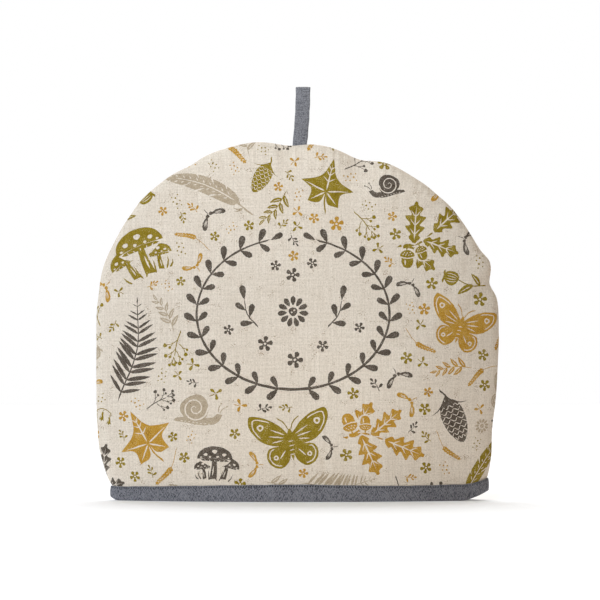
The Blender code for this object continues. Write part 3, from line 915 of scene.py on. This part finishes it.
def net_of_cloth(cut, outlines):
    """Triangles of the flat cloth that follow the seam, the hem and the outlines: their
    corners, and for each triangle the last outline that covers it, or 0 for none."""
    seam = cut.seam(SEAM_STEP)
    hem = np.linspace(seam[-1], seam[0], int((seam[0, 0] - seam[-1, 0]) / HEM_STEP))[1:-1]
    rim = np.concatenate([seam, hem])
    along = np.hypot(*seam.T)[:, None]
    rows = np.concatenate([seam * (1 - depth / along) for depth in NEAR_SEAM])
    rows = rows[rows[:, 1] > HEM_CLEARANCE]
    across = np.arange(seam[-1, 0], seam[0, 0], CLOTH_STEP)
    up = np.arange(CLOTH_STEP / 2, seam[:, 1].max(), ROW_STEP)
    field = np.stack(np.meshgrid(across, up), -1)
    field[1::2, :, 0] += CLOTH_STEP / 2
    field = field.reshape(-1, 2)
    edge = np.interp(np.arctan2(*field.T[::-1]), np.arctan2(*seam.T[::-1]), along[:, 0])
    field = field[edge - np.hypot(*field.T) > NEAR_SEAM[-1] + ROWS_CLEARANCE]
    drawn = np.concatenate(outlines)
    loose = np.concatenate([rows, field])
    crowded = np.unique((drawn // PRINT_CLEARANCE).astype(int) @ (1, 100000))
    loose = loose[~np.isin((loose // PRINT_CLEARANCE).astype(int) @ (1, 100000), crowded)]
    places = np.concatenate([rim, loose, drawn])
    ends = len(rim) + len(loose) + np.cumsum([0] + [len(line) for line in outlines])
    edges = []
    for first, last in ((0, len(rim)), *zip(ends[:-1].tolist(), ends[1:].tolist())):
        edges += [(k, k + 1) for k in range(first, last - 1)] + [(last - 1, first)]
    made = delaunay_2d_cdt(places.tolist(), edges, [], 0, 1e-8, False)
    corners = np.array([tuple(place) for place in made[0]])
    faces = np.array(made[2])
    middles = corners[faces].mean(axis=1)
    kept = within(middles, rim)
    faces, middles = faces[kept], middles[kept]
    covers = np.zeros(len(faces), int)
    for number, line in enumerate(outlines):
        covers[within(middles, line)] = number + 1
    used, faces = np.unique(faces, return_inverse=True)
    return corners[used], faces.reshape(-1, 3), covers


def rim_of(faces):
    """Corners of the one closed rim of a net of triangles, in order."""
    edges = np.concatenate([faces[:, [0, 1]], faces[:, [1, 2]], faces[:, [2, 0]]])
    size = faces.max() + 1
    forward = edges @ (size, 1)
    alone = edges[~np.isin(forward, edges @ (1, size))]
    after = dict(alone.tolist())
    line = [alone[0, 0]]
    while after[line[-1]] != line[0]:
        line.append(after[line[-1]])
    return np.array(line)


def cloth_piece(name, points, faces, places=None):
    """A new smooth piece. Its places on the flat cloth, one for each point or for each
    corner of the faces, become its UV map."""
    mesh = bpy.data.meshes.new(name)
    mesh.from_pydata(points, [], faces)
    if places is not None:
        if len(places) == len(points):
            corner = np.zeros(len(mesh.loops), int)
            mesh.loops.foreach_get("vertex_index", corner)
            places = places[corner]
        mesh.uv_layers.new(name="cloth").data.foreach_set("uv", places.ravel())
    mesh.shade_smooth()
    piece = bpy.data.objects.new(name, mesh)
    bpy.context.scene.collection.objects.link(piece)
    return piece


def panel_piece(name, side, rises, creases, shapes):
    """A panel's closed skin, with the flat cloth's places as its UV map and the inks as
    the colours of its corners."""
    cut = Cut(side, rises, creases)
    kept = []
    for ink, line in shapes:
        line = hand_cut(line) * MM
        reach = np.interp(np.arctan2(line[:, 1], -side * line[:, 0]), cut.bearings, cut.lengths)
        if np.any((line[:, 1] > 0) & (np.hypot(*line.T) < reach)):
            kept.append((ink, line))
    flat, faces, covers = net_of_cloth(cut, [line for _, line in kept])
    rim = rim_of(faces)
    on_hem = flat[rim, 1] < 1e-7
    start = np.argmax(flat[rim, 0] * on_hem)
    rim, on_hem = np.roll(rim, -start), np.roll(on_hem, -start)
    seam = np.concatenate([rim[:1], rim[~on_hem], rim[np.argmin(flat[rim, 0] * on_hem)][None]])
    hem = rim[on_hem]
    hem = hem[np.argsort(flat[hem, 0])]
    bearing, share = cut.polar(flat)
    share[seam] = 1
    outer = panel_face(bearing, share, True, *cut.form)
    rings = np.linspace(1, 0, LINING_RINGS + 1)[:-1] ** 0.8
    around, inward = np.meshgrid(bearing[seam], rings)
    lining = panel_face(around, inward, False, *cut.form).reshape(-1, 3)
    middle = panel_face(np.zeros(1), np.zeros(1), False, *cut.form)
    points = np.concatenate([outer, lining, middle])
    number = len(flat) + np.arange(LINING_RINGS * len(seam)).reshape(LINING_RINGS, -1)
    pole = len(points) - 1

    def strip(near, far):
        """Quads from a line to the next line inside it."""
        return np.stack([near[1:], near[:-1], far[:-1], far[1:]], -1).tolist()

    quads = strip(seam, number[0])
    for ring in range(LINING_RINGS - 1):
        quads += strip(number[ring], number[ring + 1])
    fan = np.stack([number[-1, 1:], number[-1, :-1], np.full(len(seam) - 1, pole)], -1)
    mouth = np.concatenate([hem, number[:, 0], [pole], number[::-1, -1]])
    raw = points[mouth] * (1, 1, 0) + (0, 0, RAW_EDGE_UP)
    below = len(points) + np.arange(len(mouth))
    quads += strip(np.append(mouth, mouth[0]), np.append(below, below[0]))
    points = curled(np.concatenate([points, raw]))
    places = np.concatenate([flat, points[len(flat) :, [0, 2]]])
    closing = fan.tolist() + [below[::-1].tolist()]
    piece = cloth_piece(name, points, faces.tolist() + quads + closing, places)
    filters = np.zeros((TAUPE + 1, 4))
    for ink, lets_through in INK_FILTERS.items():
        filters[ink] = (*lets_through, 1)
    inks = np.array([BARE] + [ink for ink, _ in kept])[covers]
    corner_inks = np.zeros((len(piece.data.loops), 4))
    corner_inks[: 3 * len(faces)] = np.repeat(filters[inks], 3, axis=0)
    layer = piece.data.color_attributes.new("ink", "FLOAT_COLOR", "CORNER")
    layer.data.foreach_set("color", corner_inks.ravel())
    normals = np.zeros((len(points), 3))
    normals[: len(flat)] = cut.facing(flat)
    normals[seam] = normals[hem] = 0
    piece.data.normals_split_custom_set_from_vertices(normals.tolist())
    return piece


class Wire:
    """A node's output in a material: arithmetic on wires and numbers adds Math nodes."""

    def __init__(self, tree, socket):
        self.tree, self.socket = tree, socket

    def add(self, kind, settings, inputs, output=0):
        """A new node: first its settings, then a value or a wire for each socket."""
        node = self.tree.nodes.new("ShaderNode" + kind)
        for key, value in settings.items():
            setattr(node, key, value)
        for key, value in inputs.items():
            if isinstance(value, Wire):
                self.tree.links.new(value.socket, node.inputs[key])
            else:
                node.inputs[key].default_value = value
        return Wire(self.tree, node.outputs[output])

    def maths(self, operation, *values):
        """The operation on the values, each a wire or a number."""
        return self.add("Math", {"operation": operation}, dict(enumerate(values)))

    def __add__(self, other):
        return self.maths("ADD", self, other)

    def __sub__(self, other):
        return self.maths("SUBTRACT", self, other)

    def __rsub__(self, other):
        return self.maths("SUBTRACT", other, self)

    def __mul__(self, other):
        return self.maths("MULTIPLY", self, other)

    def __pow__(self, other):
        return self.maths("POWER", self, other)

    __radd__, __rmul__ = __add__, __mul__

    def spread(self, across, along):
        """This place divided by a width and a length, in metres."""
        scale = (1 / across, 1 / along, 1)
        return self.add("VectorMath", {"operation": "MULTIPLY"}, {0: self, 1: scale})

    def noise(self, detail=2.0, rough=0.5):
        """Soft noise from 0 to 1 at this place, in cells of one."""
        inputs = {"Vector": self, "Scale": 1.0, "Detail": detail, "Roughness": rough}
        return self.add("TexNoise", {"noise_dimensions": "2D"}, inputs)

    def step(self, low, high):
        """0 below low and 1 above high, with a smooth rise between."""
        inputs = {"Value": self, "From Min": low, "From Max": high}
        return self.add("MapRange", {"interpolation_type": "SMOOTHSTEP"}, inputs)

    def blend(self, one, other, how="MIX"):
        """A colour mixed from two, by this factor."""
        settings = {"data_type": "RGBA", "blend_type": how}
        return self.add("Mix", settings, {0: self, 6: one, 7: other}, 2)


def woven(place, warp, weft):
    """A plain weave with threads of those widths, in metres: how high the top thread
    stands, which thread is on top, and the streaks of thick and thin threads. A thread
    is |sin| across itself, and sin sin of both ways says which one is over the other."""
    drift = (place.spread(4 * MM, 30 * MM).noise() - 0.5) * 0.35
    threads = place.spread(warp, weft)
    waves = [
        place.maths("SINE", (threads.add("SeparateXYZ", {}, {0: threads}, k) + drift) * np.pi)
        for k in (0, 1)
    ]
    over = waves[0] * waves[1]
    rounds = [place.maths("ABSOLUTE", wave) ** 0.55 for wave in waves]
    tops = rounds[0] * (over * 0.42 + 0.58), rounds[1] * (0.58 - over * 0.42)
    height = place.maths("MAXIMUM", *tops)
    on_top = over.step(-0.05, 0.05)
    warp_tone = place.spread(2.1 * warp, 60 * warp).noise(3.0, 0.6)
    weft_tone = place.spread(60 * weft, 2.1 * weft).noise(3.0, 0.6)
    return height, on_top, warp_tone, weft_tone


def cloth_finish(name, roughness):
    """A new cloth material: itself, its shader and the place on its flat cloth."""
    material = bpy.data.materials.new(name)
    material.use_nodes = True
    tree = material.node_tree
    shader = tree.nodes["Principled BSDF"]
    shader.inputs["Roughness"].default_value = roughness
    shader.inputs["Specular IOR Level"].default_value = 0.10
    shader.inputs["Sheen Weight"].default_value = 0.03
    shader.inputs["Sheen Roughness"].default_value = 0.6
    place = Wire(tree, None).add("UVMap", {"uv_map": "cloth"}, {})
    return material, shader, place


def connect(shader, **wires):
    """Link wires to the shader's sockets, named with _ for each space."""
    for socket, wire in wires.items():
        wire.tree.links.new(wire.socket, shader.inputs[socket.replace("_", " ")])


def printed_cotton():
    """Natural linen and cotton with its print. The threads are cream and oatmeal, with
    slubs in both directions and brown flecks of husk. The ink is a filter on the cloth,
    its colour to the power of its thickness, and is missing in small specks."""
    material, shader, place = cloth_finish("printed_linen_cotton", 0.9)
    height, on_top, warp_tone, weft_tone = woven(place, 0.50 * MM, 0.56 * MM)
    tone = warp_tone * 0.55 + weft_tone * 0.45
    cream = tone.step(0.3, 0.72).blend((0.608, 0.524, 0.440, 1), (0.731, 0.647, 0.562, 1))
    oatmeal = tone.step(0.3, 0.72).blend((0.561, 0.473, 0.385, 1), (0.683, 0.602, 0.512, 1))
    cloth = on_top.blend(oatmeal, cream)
    mottle = place.spread(1.3 * MM, 1.6 * MM).noise(1.0, 0.6).step(0.44, 0.72)
    cloth = (mottle * 0.6).blend(cloth, (0.489, 0.416, 0.339, 1))
    specks = place.spread(0.75 * MM, 1.0 * MM).noise(0.0).step(0.75, 0.87)
    cloth = (specks * 0.5).blend(cloth, (0.33, 0.265, 0.20, 1))
    husk = place.spread(1.2 * MM, 0.7 * MM).noise(0.0) * place.spread(9 * MM, 7 * MM).noise(0.0)
    cloth = (husk.step(0.51, 0.57) * 0.75).blend(cloth, (0.26, 0.175, 0.105, 1))
    ink, covered = (place.add("VertexColor", {"layer_name": "ink"}, {}, k) for k in (0, 1))
    speckle = place.spread(0.8 * MM, 0.9 * MM).noise(3.0, 0.7)
    patches = place.spread(6 * MM, 7 * MM).noise(1.0)
    thinness = speckle + patches * 0.25 - height * 0.10
    cover = covered * (1 - thinness.step(0.69, 0.85) * 0.75)
    thickness = 1.05 - thinness.step(0.38, 0.72) * 0.4
    soaked = place.add("Gamma", {}, {"Color": ink, "Gamma": thickness})
    connect(shader, Base_Color=cover.blend(cloth, soaked, "MULTIPLY"))
    slubs = (warp_tone + weft_tone) * 0.9
    inputs = {"Strength": 0.7, "Distance": 0.16 * MM, "Height": height + slubs}
    connect(shader, Normal=place.add("Bump", {}, inputs))
    return material


printed = scattered(np.random.default_rng(7))
cotton = printed_cotton()
for name, node, side, rises, creases in (
    ("printed_front_panel", "panel_front", -1, FRONT_RISES, FRONT_CREASES),
    ("printed_back_panel", "panel_back", 1, BACK_RISES, BACK_CREASES),
):
    panel = panel_piece(name, side, rises, creases, printed)
    panel.data.materials.append(cotton)
    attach(panel, "root")
    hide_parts(node)

# ----------------------------------------------------------------------------------
# The hanging loop: a length of grey cotton tape folded in two. Its ends are caught in
# the seam at the top between the panels, and the rest stands up as a flat eye.
# ----------------------------------------------------------------------------------
LOOP_WIDTH = 12.6 * MM
LOOP_CLOTH = 1.4 * MM        # thickness of the tape
LOOP_ACROSS = 1.7 * MM       # its middle, right of the hem's middle
LOOP_TOP = 360 * MM
LOOP_LEAN = 3.0 * MM         # how far its top leans to the right
LEAN_POWER = 2.0
LOOP_TAIL = 9.0 * MM         # length below the eye, where the two ends lie together
LOOP_SEAT = 5.0 * MM         # depth of its foot below the valley of the seam
LOOP_EYE = 4.0 * MM          # half width of the eye
TAIL_POINTS = 9
TAPE_DYE = (0.063, 0.063, 0.073), (0.215, 0.211, 0.227)    # its dark and its light


def seam_top():
    """Height of the seam's valley under the loop."""
    reach = edge_reach(np.array([np.pi / 2]))
    pull = pucker_pull(np.array([np.pi / 2]), np.zeros(1))
    return float(BINDING_HEIGHT + reach[0] - pull[0] - SEAM_VALLEY)


def tube_quads(index):
    """Quads between neighbouring rows of a numbered grid whose columns close round."""
    after = np.roll(index, -1, axis=-1)
    corners = [index[..., :-1, :], index[..., 1:, :], after[..., 1:, :], after[..., :-1, :]]
    return np.stack(corners, -1).reshape(-1, 4).tolist()


def tape_loop():
    """The tape as one closed skin. Its way in Y and Z is a tail, a teardrop eye with
    y = a sin t sin^2(t/2) and z = (1 - cos t)/2, and the tail again. Across, it is a
    flat tape with rounded edges, and a little hollow between them."""
    foot = seam_top() - LOOP_SEAT
    eye_foot = foot + LOOP_TAIL
    eye_height = LOOP_TOP - LOOP_CLOTH - eye_foot
    t = np.linspace(0, 2 * np.pi, 121)
    eye_out = -LOOP_EYE / 0.65 * np.sin(t) * np.sin(t / 2) ** 2
    eye = np.stack([eye_out, eye_foot + eye_height * (1 - np.cos(t)) / 2], -1)
    tail_up = np.linspace(foot, eye_foot, TAIL_POINTS + 1)[:-1]
    tail = np.stack([np.zeros(TAIL_POINTS), tail_up], -1)
    line = np.concatenate([tail, eye, tail[::-1]])
    ahead = np.gradient(eye, axis=0)
    ahead[0], ahead[-1] = (0, 1), (0, -1)
    upwards = np.tile((0, 1), (TAIL_POINTS, 1))
    outward = left_of(unit(np.concatenate([upwards, ahead, -upwards])))
    turn = np.linspace(0, 2 * np.pi, 33)[:-1]
    width = np.sign(np.cos(turn)) * np.abs(np.cos(turn)) ** 0.35
    lift = np.sign(np.sin(turn)) * np.abs(np.sin(turn)) ** 0.7
    way = way_along(line)
    cushion = 1 - 0.16 * np.exp(-(((np.abs(width) - 0.78) / 0.09) ** 2))
    rise = LOOP_CLOTH * (0.5 + 0.48 * lift * cushion)
    across = LOOP_WIDTH / 2 * width
    off = line[:, None] + outward[:, None] * rise[:, None]
    edge_waver = 0.12 * MM * np.sin(way[:, None] / (2.3 * MM) + 2 * np.sign(width))
    share = np.clip((off[..., 1] - seam_top()) / (LOOP_TOP - seam_top()), 0, 1)
    lean = LOOP_LEAN * (1 - (1 - share) ** LEAN_POWER)
    x = LOOP_ACROSS + across + lean + edge_waver * np.abs(width) ** 4
    index = np.arange(x.size).reshape(x.shape)
    ends = [index[0].tolist(), index[-1, ::-1].tolist()]
    points = np.stack([x, off[..., 0], off[..., 1]], -1).reshape(-1, 3)
    places = np.stack(np.broadcast_arrays(across, way[:, None]), -1).reshape(-1, 2)
    return cloth_piece("tape_loop", points, tube_quads(index) + ends, places), way[-1]


def grey_weave(name, dark, light, warp, weft, turned, bump_depth, hole_shade_row=None):
    """Dyed cotton: its weave, straight or on the bias, the heather of its unevenly dyed
    threads, pale lint on their tops and a soft pull of the cloth at an angle. The hole
    shade row is the pitch of a row of needle holes along the cloth and the two heights of
    the row, where the shade in each hole is painted as a near-black dot."""
    material, shader, place = cloth_finish(name, 0.86)
    threads = place.add("Mapping", {}, {"Vector": place, "Rotation": (0, 0, turned)})
    height, on_top, warp_tone, weft_tone = woven(threads, warp, weft)
    heather = threads.spread(0.9 * MM, 1.05 * MM).noise(2.0, 0.7)
    hatch = threads.spread(0.9 * MM, 5 * MM).noise() + threads.spread(5 * MM, 0.9 * MM).noise()
    patches = place.spread(14 * MM, 11 * MM).noise()
    tone = (warp_tone + weft_tone) * 0.2 + hatch * 0.35 + heather + patches * 0.15 + height * 0.1
    dyed = tone.step(0.91, 1.33).blend((*dark, 1), (*light, 1))
    lint = (place.spread(1.1 * MM, 0.8 * MM).noise(3.0, 0.7) + height * 0.08).step(0.66, 0.80)
    pale = tuple(min(1, 1.9 * part + 0.03) for part in light)
    dyed = (lint * 0.35).blend(dyed, (*pale, 1))
    if hole_shade_row:
        pitch, *hole_rows = hole_shade_row
        along, up = (place.add("SeparateXYZ", {}, {0: place}, k) for k in (0, 1))
        off = place.maths("PINGPONG", along, pitch / 2)
        rise = place.maths("MINIMUM", *(place.maths("ABSOLUTE", up - row) for row in hole_rows))
        # Painted shade: a near-black dot at each needle hole stands in for the shadow inside the
        # hole.
        painted_hole_shade = (off * off + rise * rise).step((0.85 * MM) ** 2, (0.35 * MM) ** 2)
        dyed = (painted_hole_shade * 0.9).blend(dyed, (0.012, 0.012, 0.014, 1))
    connect(shader, Base_Color=dyed)
    pulls = place.spread(2.4 * MM, 9 * MM).noise(1.0) * 1.5
    inputs = {"Strength": 0.8, "Distance": bump_depth, "Height": height + on_top * 0.2 + pulls}
    connect(shader, Normal=place.add("Bump", {}, inputs))
    return material


loop, tape_length = tape_loop()
tape = grey_weave("grey_cotton_tape", *TAPE_DYE, 0.42 * MM, 0.5 * MM, 0, 0.16 * MM)
loop.data.materials.append(tape)
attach(loop, "root")
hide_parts("hanging_loop")

# ----------------------------------------------------------------------------------
# The hem binding: a strip of grey cotton cut on the bias, folded over the raw edges of
# both panels with its own edges turned in, and held by one row of stitches that goes
# through everything just below its upper edge.
# ----------------------------------------------------------------------------------
HEM_POINTS = 161             # on each half of the front's hem
BINDING_STEPS = 760
CORNER_ROUNDING = 0.6 * MM
INNER_TIP_DRAW = 2.2 * MM    # the inner leg ends this much short of the panels' corners
STITCH_UP = 11.9 * MM
STITCH_PITCH = 2.3 * MM
STITCH_HALF = 0.34 * STITCH_PITCH
STITCH_DIP = 0.42 * MM       # depth of its ends in the cloth
STITCH_OUT = 1.32 * MM       # the row's distance from the hem's line
STITCH_LEG = 10              # place of the stitches in the section
STITCH_RINGS, STITCH_SIDES = 9, 6
THREAD_RADIUS = 0.21 * MM
BINDING_DYE = (0.035, 0.036, 0.045), (0.193, 0.189, 0.210)
# The folded strip's section, from the outer leg's foot up, over its fold and down to
# the panel's raw edge: distance out from the hem and height, in mm.
LEG = (
    (0.95, 0.00), (1.30, 0.12), (1.52, 0.45), (1.62, 1.10), (1.70, 2.40), (1.78, 4.20),
    (1.82, 6.20), (1.78, 8.20), (1.66, 9.90), (1.46, 11.10), (1.30, 11.75), (1.28, 12.10),
    (1.36, 12.50), (1.36, 12.90), (1.20, 13.22), (0.92, 13.36), (0.62, 13.28), (0.40, 13.0),
    (0.32, 12.4), (0.30, 7.0), (0.30, 1.35),
)


def hem_loop(outside):
    """The closed line of the panels' hem in plan: along the front, then back."""
    share = np.linspace(0, 1, HEM_POINTS)
    share = share + 0.9 * np.sin(np.pi * share) / np.pi
    left, right = (
        panel_face(np.full(HEM_POINTS, bearing), share, outside, -1, (), ())
        for bearing in (np.pi, 0.0)
    )
    front = np.concatenate([left[::-1, :2], right[1:, :2]])
    front[[0, -1], 1] = 0
    return np.concatenate([front, front[-2:0:-1] * (1, -1)])


def even_loop(loop):
    """The closed line in even steps, its corners rounded by a bell-shaped average."""
    closed = np.concatenate([loop, loop[:1]])
    way = way_along(closed)
    even = places_on(closed, way, np.linspace(0, way[-1], BINDING_STEPS, endpoint=False))
    gap = np.minimum(np.arange(BINDING_STEPS), BINDING_STEPS - np.arange(BINDING_STEPS))
    bell = np.exp(-((gap * way[-1] / BINDING_STEPS / CORNER_ROUNDING) ** 2))
    smooth = np.fft.ifft(np.fft.fft(even, axis=0) * np.fft.fft(bell / bell.sum())[:, None], axis=0)
    return smooth.real


def spread_loop(loop, distance):
    """Move a closed line outwards by the distance, or in where it is negative."""
    return loop - distance * left_of(unit(np.roll(loop, -1, axis=0) - np.roll(loop, 1, axis=0)))


def folded_binding():
    """The strip as one closed ring: its section set out from the hem's outer line and
    in from its inner line, with a scallop at each stitch and a slow waver."""
    outer_line = even_loop(hem_loop(True))
    inner_line = hem_loop(False)
    inner_line = even_loop(inner_line * (1 - INNER_TIP_DRAW / np.max(np.abs(inner_line[:, 0]))))
    way = np.linspace(0, 2 * np.pi, BINDING_STEPS, endpoint=False)
    length = np.linalg.norm(np.roll(outer_line, -1, axis=0) - outer_line, axis=1).sum()
    stitches = round(length / STITCH_PITCH)
    waver = np.sin(23 * way + 1.5 * np.sin(5 * way)) + 0.6 * np.sin(61 * way)
    scallop = np.abs(np.sin(stitches / 2 * way))
    lines = []
    for line, out_way in ((outer_line, 1), (inner_line, -1)):
        legs = []
        for out, up in LEG:
            high = np.clip((up - 9) / 4, 0, 1)
            loose = np.clip((out - 0.4) / 0.9, 0, 1)
            swell = (0.10 * high * (scallop - 0.6) + 0.05 * waver) * loose
            ring = spread_loop(line, (out + swell)[:, None] * MM * out_way)
            rise = up + 0.09 * high * waver + 0.05 * high * scallop
            legs.append(np.column_stack([ring, rise * MM]))
        lines.append(legs)
    grid = curled(np.stack(lines[0] + lines[1][::-1]))
    index = np.arange(len(grid) * BINDING_STEPS).reshape(len(grid), -1)
    up_next, round_next = np.roll(index, -1, axis=0), np.roll(index, -1, axis=1)
    both = np.roll(up_next, -1, axis=1)
    quads = np.stack([index, round_next, both, up_next], -1).reshape(-1, 4)
    over = np.append(way_along(grid[:, 0]), 0)
    over[-1] = over[-2] + np.linalg.norm(grid[0, 0] - grid[-1, 0])
    columns = np.arange(BINDING_STEPS + 1) * length / BINDING_STEPS
    u = np.stack([columns[:-1], columns[1:], columns[1:], columns[:-1]], -1)
    v = np.stack([over[:-1], over[:-1], over[1:], over[1:]], -1)
    places = np.stack(np.broadcast_arrays(u[None], v[:, None]), -1).reshape(-1, 2)
    piece = cloth_piece("bias_binding", grid.reshape(-1, 3), quads.tolist(), places)
    shy = STITCH_UP - LEG[STITCH_LEG][1] * MM
    heights = over[STITCH_LEG] + shy, over[-2 - STITCH_LEG] - shy
    return piece, stitches, length, heights, outer_line, inner_line


def stitch_row(name, line, stitches, out):
    """A row of stitches: each is a closed capsule r^4 + s^4 = 1 that dips into the
    cloth at both ends."""
    ring = spread_loop(line, out)
    closed = np.concatenate([ring, ring[:1]])
    way = way_along(closed)
    centre = (np.arange(stitches) + 0.5) * way[-1] / stitches
    along = np.linspace(-0.99, 0.99, STITCH_RINGS)
    round_it = np.linspace(0, 2 * np.pi, STITCH_SIDES + 1)[:-1]
    s, turn = np.meshgrid(along, round_it, indexing="ij")
    middle = places_on(closed, way, (centre[:, None] + STITCH_HALF * along) % way[-1])
    outward = -left_of(unit(np.gradient(middle, axis=1))) * np.sign(out)
    radius = THREAD_RADIUS * (1 - np.abs(s) ** 4) ** 0.25
    lift = radius * np.cos(turn) - STITCH_DIP * s**4
    plan = middle[:, :, None] + outward[:, :, None] * lift[None, ..., None]
    up = np.broadcast_to(STITCH_UP + radius * np.sin(turn) * np.sign(out), plan.shape[:-1])
    points = curled(np.concatenate([plan, up[..., None]], axis=-1)).reshape(-1, 3)
    index = np.arange(len(points)).reshape(stitches, STITCH_RINGS, STITCH_SIDES)
    ends = index[:, 0].tolist() + index[:, -1, ::-1].tolist()
    return cloth_piece(name, points, tube_quads(index) + ends)


binding, stitch_count, binding_length, stitch_heights, outer_line, inner_line = folded_binding()
# Pitch and heights of the needle holes, whose shade is painted as dark dots on the binding.
needle_hole_shade = (float(binding_length) / stitch_count, *map(float, stitch_heights))
bias_cotton = grey_weave(
    "grey_bias_cotton", *BINDING_DYE, 0.34 * MM, 0.38 * MM, np.pi / 4, 0.13 * MM, needle_hole_shade
)
binding.data.materials.append(bias_cotton)
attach(binding, "root")
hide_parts("hem_binding")

thread = bpy.data.materials.new("grey_sewing_thread")
thread.use_nodes = True
thread_shader = thread.node_tree.nodes["Principled BSDF"]
thread_shader.inputs["Roughness"].default_value = 0.6
ply = Wire(thread.node_tree, None).add("TexCoord", {}, {}, 3)
bands = {"wave_type": "BANDS", "bands_direction": "DIAGONAL"}
twist = ply.add("TexWave", bands, {"Vector": ply, "Scale": 900.0})
connect(thread_shader, Base_Color=twist.blend((0.075, 0.077, 0.088, 1), (0.17, 0.173, 0.185, 1)))
for name, line, out in (
    ("outer_topstitch", outer_line, STITCH_OUT),
    ("inner_topstitch", inner_line, -STITCH_OUT),
):
    row = stitch_row(name, line, stitch_count, out)
    row.data.materials.append(thread)
    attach(row, "root")

# ----------------------------------------------------------------------------------
# The studio: a white floor that glows faintly and a dim surround, soft suns from the left
# and from behind on both sides, three soft spots on the middle, the top and the lower
# part, and a long lens level with the middle of the cosy.
# ----------------------------------------------------------------------------------
CAMERA_REACH = 6.0
CAMERA_RISE = np.radians(0.7)
VIEW_WIDTH = 0.5228          # of the picture, at the plane of the seam
AIM = (0.00205, 0.0, 0.1743)
FLOOR_HALF = 3.0

floor_mesh = bpy.data.meshes.new("floor")
signs = ((-1, -1), (1, -1), (1, 1), (-1, 1))
floor_corners = [(x * FLOOR_HALF, y * FLOOR_HALF, 0) for x, y in signs]
floor_mesh.from_pydata(floor_corners, [], [(0, 1, 2, 3)])
floor = bpy.data.objects.new("floor", floor_mesh)
bpy.context.scene.collection.objects.link(floor)
paper = bpy.data.materials.new("white_paper")
paper.use_nodes = True
for socket, value in (
    ("Base Color", (0.93, 0.93, 0.955, 1)),
    ("Roughness", 0.9),
    ("Specular IOR Level", 0.0),
    ("Emission Color", (1, 1, 1, 1)),
    ("Emission Strength", 0.09),
):
    paper.node_tree.nodes["Principled BSDF"].inputs[socket].default_value = value
floor_mesh.materials.append(paper)


def new_light(name, kind, power, colour):
    """A lamp and the object that holds it."""
    lamp = bpy.data.lights.new(name, kind)
    lamp.color = colour
    lamp.energy = power
    light = bpy.data.objects.new(name, lamp)
    bpy.context.scene.collection.objects.link(light)
    return lamp, light


for name, bearing, height, width, power, colour in (
    ("left", -60, 15, 50, 2.36, (0.692, 0.856, 1.0)),
    ("behind_left", -165, 52, 50, 1.62, (0.911, 0.951, 1.0)),
    ("behind_right", 165, 45, 60, 1.41, (1.0, 0.996, 0.987)),
):
    lamp, light = new_light(name, "SUN", power, colour)
    lamp.angle = np.radians(width)
    light.rotation_euler = (np.radians(90 - height), 0, np.radians(bearing))

for name, place, target, width, softness, power, colour in (
    ("beam", (-1.0, -1.8, 1.3), (-0.12, 0, 0.21), 20.5, 0.3, 59, (0.850, 0.890, 1.0)),
    ("top", (0, -1.8, 2.0), (0.01, -0.02, 0.36), 12, 0.12, 116, (0.885, 0.958, 1.0)),
    ("low", (-0.3, -2.4, 0.1), (0.02, 0, -0.05), 12, 0.05, 56, (1.0, 0.984, 0.910)),
):
    lamp, light = new_light(name, "SPOT", power, colour)
    lamp.shadow_soft_size = softness
    lamp.spot_size = np.radians(width)
    lamp.spot_blend = 1.0
    light.location = place
    ahead = np.subtract(target, place)
    light.rotation_euler = (
        np.pi / 2 + np.arctan2(ahead[2], np.hypot(*ahead[:2])),
        0,
        np.arctan2(ahead[1], ahead[0]) - np.pi / 2,
    )

world = bpy.data.worlds.new("white_studio")
bpy.context.scene.world = world
world.use_nodes = True
sky = world.node_tree.nodes["Background"]
seen = world.node_tree.nodes.new("ShaderNodeLightPath")
tint = world.node_tree.nodes.new("ShaderNodeMix")
tint.data_type = "RGBA"
tint.inputs[6].default_value = (0.262, 0.211, 0.132, 1)
tint.inputs[7].default_value = (1, 1, 1, 1)
world.node_tree.links.new(seen.outputs["Is Camera Ray"], tint.inputs[0])
world.node_tree.links.new(tint.outputs[2], sky.inputs["Color"])

lens = bpy.data.cameras.new("camera")
lens.sensor_width = 36
lens.lens = 36 * CAMERA_REACH / VIEW_WIDTH
lens.clip_end = 30
camera = bpy.data.objects.new("camera", lens)
camera.location = (
    AIM[0],
    AIM[1] - CAMERA_REACH * np.cos(CAMERA_RISE),
    AIM[2] + CAMERA_REACH * np.sin(CAMERA_RISE),
)
camera.rotation_euler = (np.pi / 2 - CAMERA_RISE, 0, 0)
bpy.context.scene.collection.objects.link(camera)
bpy.context.scene.camera = camera
bpy.context.scene.view_settings.view_transform = "Standard"
